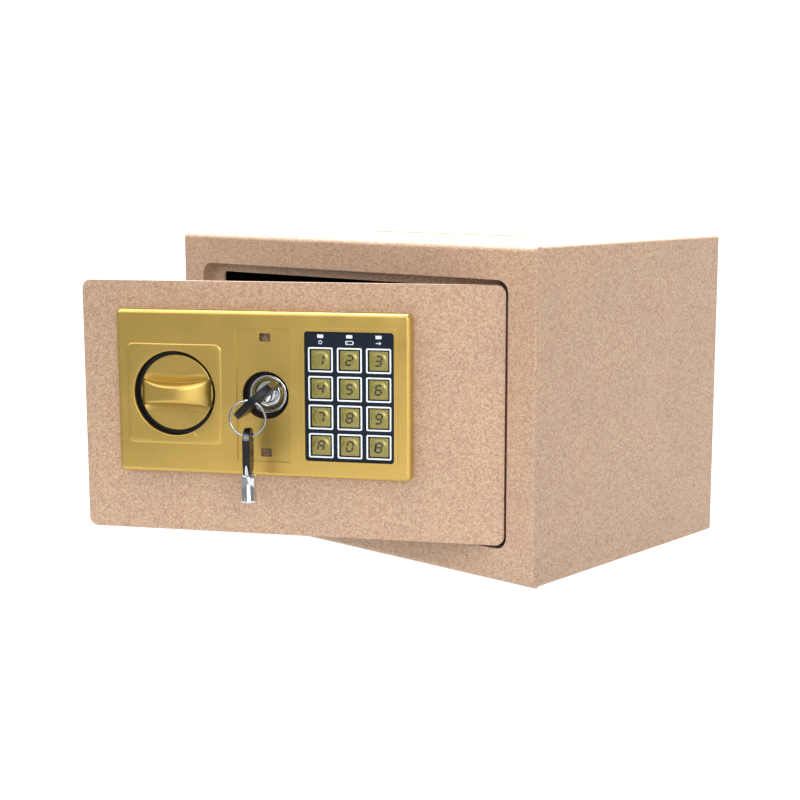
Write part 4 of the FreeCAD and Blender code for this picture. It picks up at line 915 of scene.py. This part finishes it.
# camera, floor and light
shot = {"position": (0.6624, -0.7733, 0.2420), "turn": 42.27, "down": 8.76, "roll": -0.10, "lens": 66.55}
camera = bpy.data.objects.new("camera", bpy.data.cameras.new("camera"))
camera.data.lens, camera.data.sensor_width = shot["lens"], 36.0
camera.matrix_world = (Matrix.Translation(shot["position"])
                       @ Matrix.Rotation(math.radians(shot["turn"]), 4, "Z")
                       @ Matrix.Rotation(math.radians(90 - shot["down"]), 4, "X")
                       @ Matrix.Rotation(math.radians(shot["roll"]), 4, "Z"))
bpy.context.scene.collection.objects.link(camera)
bpy.context.scene.camera = camera

floorMesh = bpy.data.meshes.new("floor")
floorMesh.from_pydata([(-30, -30, 0), (30, -30, 0), (30, 30, 0), (-30, 30, 0)], [], [(0, 1, 2, 3)])
floor = bpy.data.objects.new("floor", floorMesh)
bpy.context.scene.collection.objects.link(floor)


def glowingFloor():
    # Back-lit white acrylic: even and almost shadowless, dimming towards the front left.
    material, output, at = newMaterial("back-lit white acrylic")
    grain = addNode(material, "ShaderNodeTexNoise", {"Vector": (at, "Object"), "Scale": 300.0, "Detail": 2.0})
    shade = ramp(material, (grain, 0), [(0.3, colour("#3f3f3f")), (0.7, colour("#414141"))])
    away = addNode(material, "ShaderNodeVectorMath", {0: (at, "Object"), 1: (-0.539, -0.842, 0.0)},
                   operation="DOT_PRODUCT")
    glow = addNode(material, "ShaderNodeMapRange", {0: (away, "Value"), 1: 0.31, 2: 0.53, 3: 1.0, 4: 0.12},
                   interpolation_type="SMOOTHSTEP")
    return finishMaterial(material, output, {"Base Color": (shade, 0), "Roughness": 0.9,
                                             "Emission Color": (1, 1, 1, 1), "Emission Strength": (glow, 0)})


floorMesh.materials.append(glowingFloor())

light = {"front": 0.3, "behind": 2.4, "behindFrom": 0.25, "behindTo": 0.75, "spot": 27.0,
         "spotAt": (0.80, -0.50, 0.38), "spotTo": (0.13, -0.05, 0.086), "spotAngle": 27.5, "spotSize": 0.34,
         "overhead": 6.5, "overheadAngle": 25.0, "overheadAt": (-0.25, 0.3, 1.0)}
# softboxes: towards, core and edge angle, brightness
softboxes = [((0.688, -0.713, 0.139), 13, 25, 3.4), ((-0.22, -0.44, 0.87), 28, 52, 1.9)]
world = bpy.data.worlds.new("studio")
bpy.context.scene.world = world
world.use_nodes = True
world.node_tree.nodes.clear()
# a white tent, brighter behind the object, which the top and the edges pick up at a shallow angle
direction = addNode(world, "ShaderNodeTexCoord")
across = addNode(world, "ShaderNodeVectorMath", {0: (direction, "Generated"), 1: (-0.66, 0.75, 0.0)},
                 operation="DOT_PRODUCT")
fade = addNode(world, "ShaderNodeMapRange", {0: (across, "Value"), 1: light["behindFrom"],
                                             2: light["behindTo"], 3: light["front"], 4: light["behind"]},
               interpolation_type="SMOOTHSTEP")
for towards, core, edge, brightness in softboxes:
    angle = addNode(world, "ShaderNodeVectorMath", {0: (direction, "Generated"), 1: towards},
                    operation="DOT_PRODUCT")
    box = addNode(world, "ShaderNodeMapRange", {0: (angle, "Value"), 1: math.cos(math.radians(edge)),
                                                2: math.cos(math.radians(core)), 3: 0.0, 4: brightness},
                  interpolation_type="SMOOTHSTEP")
    fade = addNode(world, "ShaderNodeMath", {0: (fade, 0), 1: (box, 0)}, operation="ADD")
glow = addNode(world, "ShaderNodeBackground", {0: (1, 1, 1, 1), 1: (fade, 0)})
addNode(world, "ShaderNodeOutputWorld", {0: (glow, 0)})


def addLight(name, kind, energy, position, target, **settings):
    lamp = bpy.data.lights.new(name, kind)
    lamp.energy = energy
    for setting, value in settings.items():
        setattr(lamp, setting, value)
    holder = bpy.data.objects.new(name, lamp)
    holder.location = position
    holder.rotation_euler = (Vector(target) - Vector(position)).to_track_quat("-Z", "Y").to_euler()
    bpy.context.scene.collection.objects.link(holder)


addLight("snooted lamp", "SPOT", light["spot"], light["spotAt"], light["spotTo"],
         spot_size=math.radians(light["spotAngle"]), spot_blend=1.0, shadow_soft_size=light["spotSize"])
addLight("overhead", "SUN", light["overhead"], light["overheadAt"], (0, 0, 0),
         angle=math.radians(light["overheadAngle"]))
bpy.context.scene.view_settings.view_transform = "Standard"
print("camera, floor and light set")
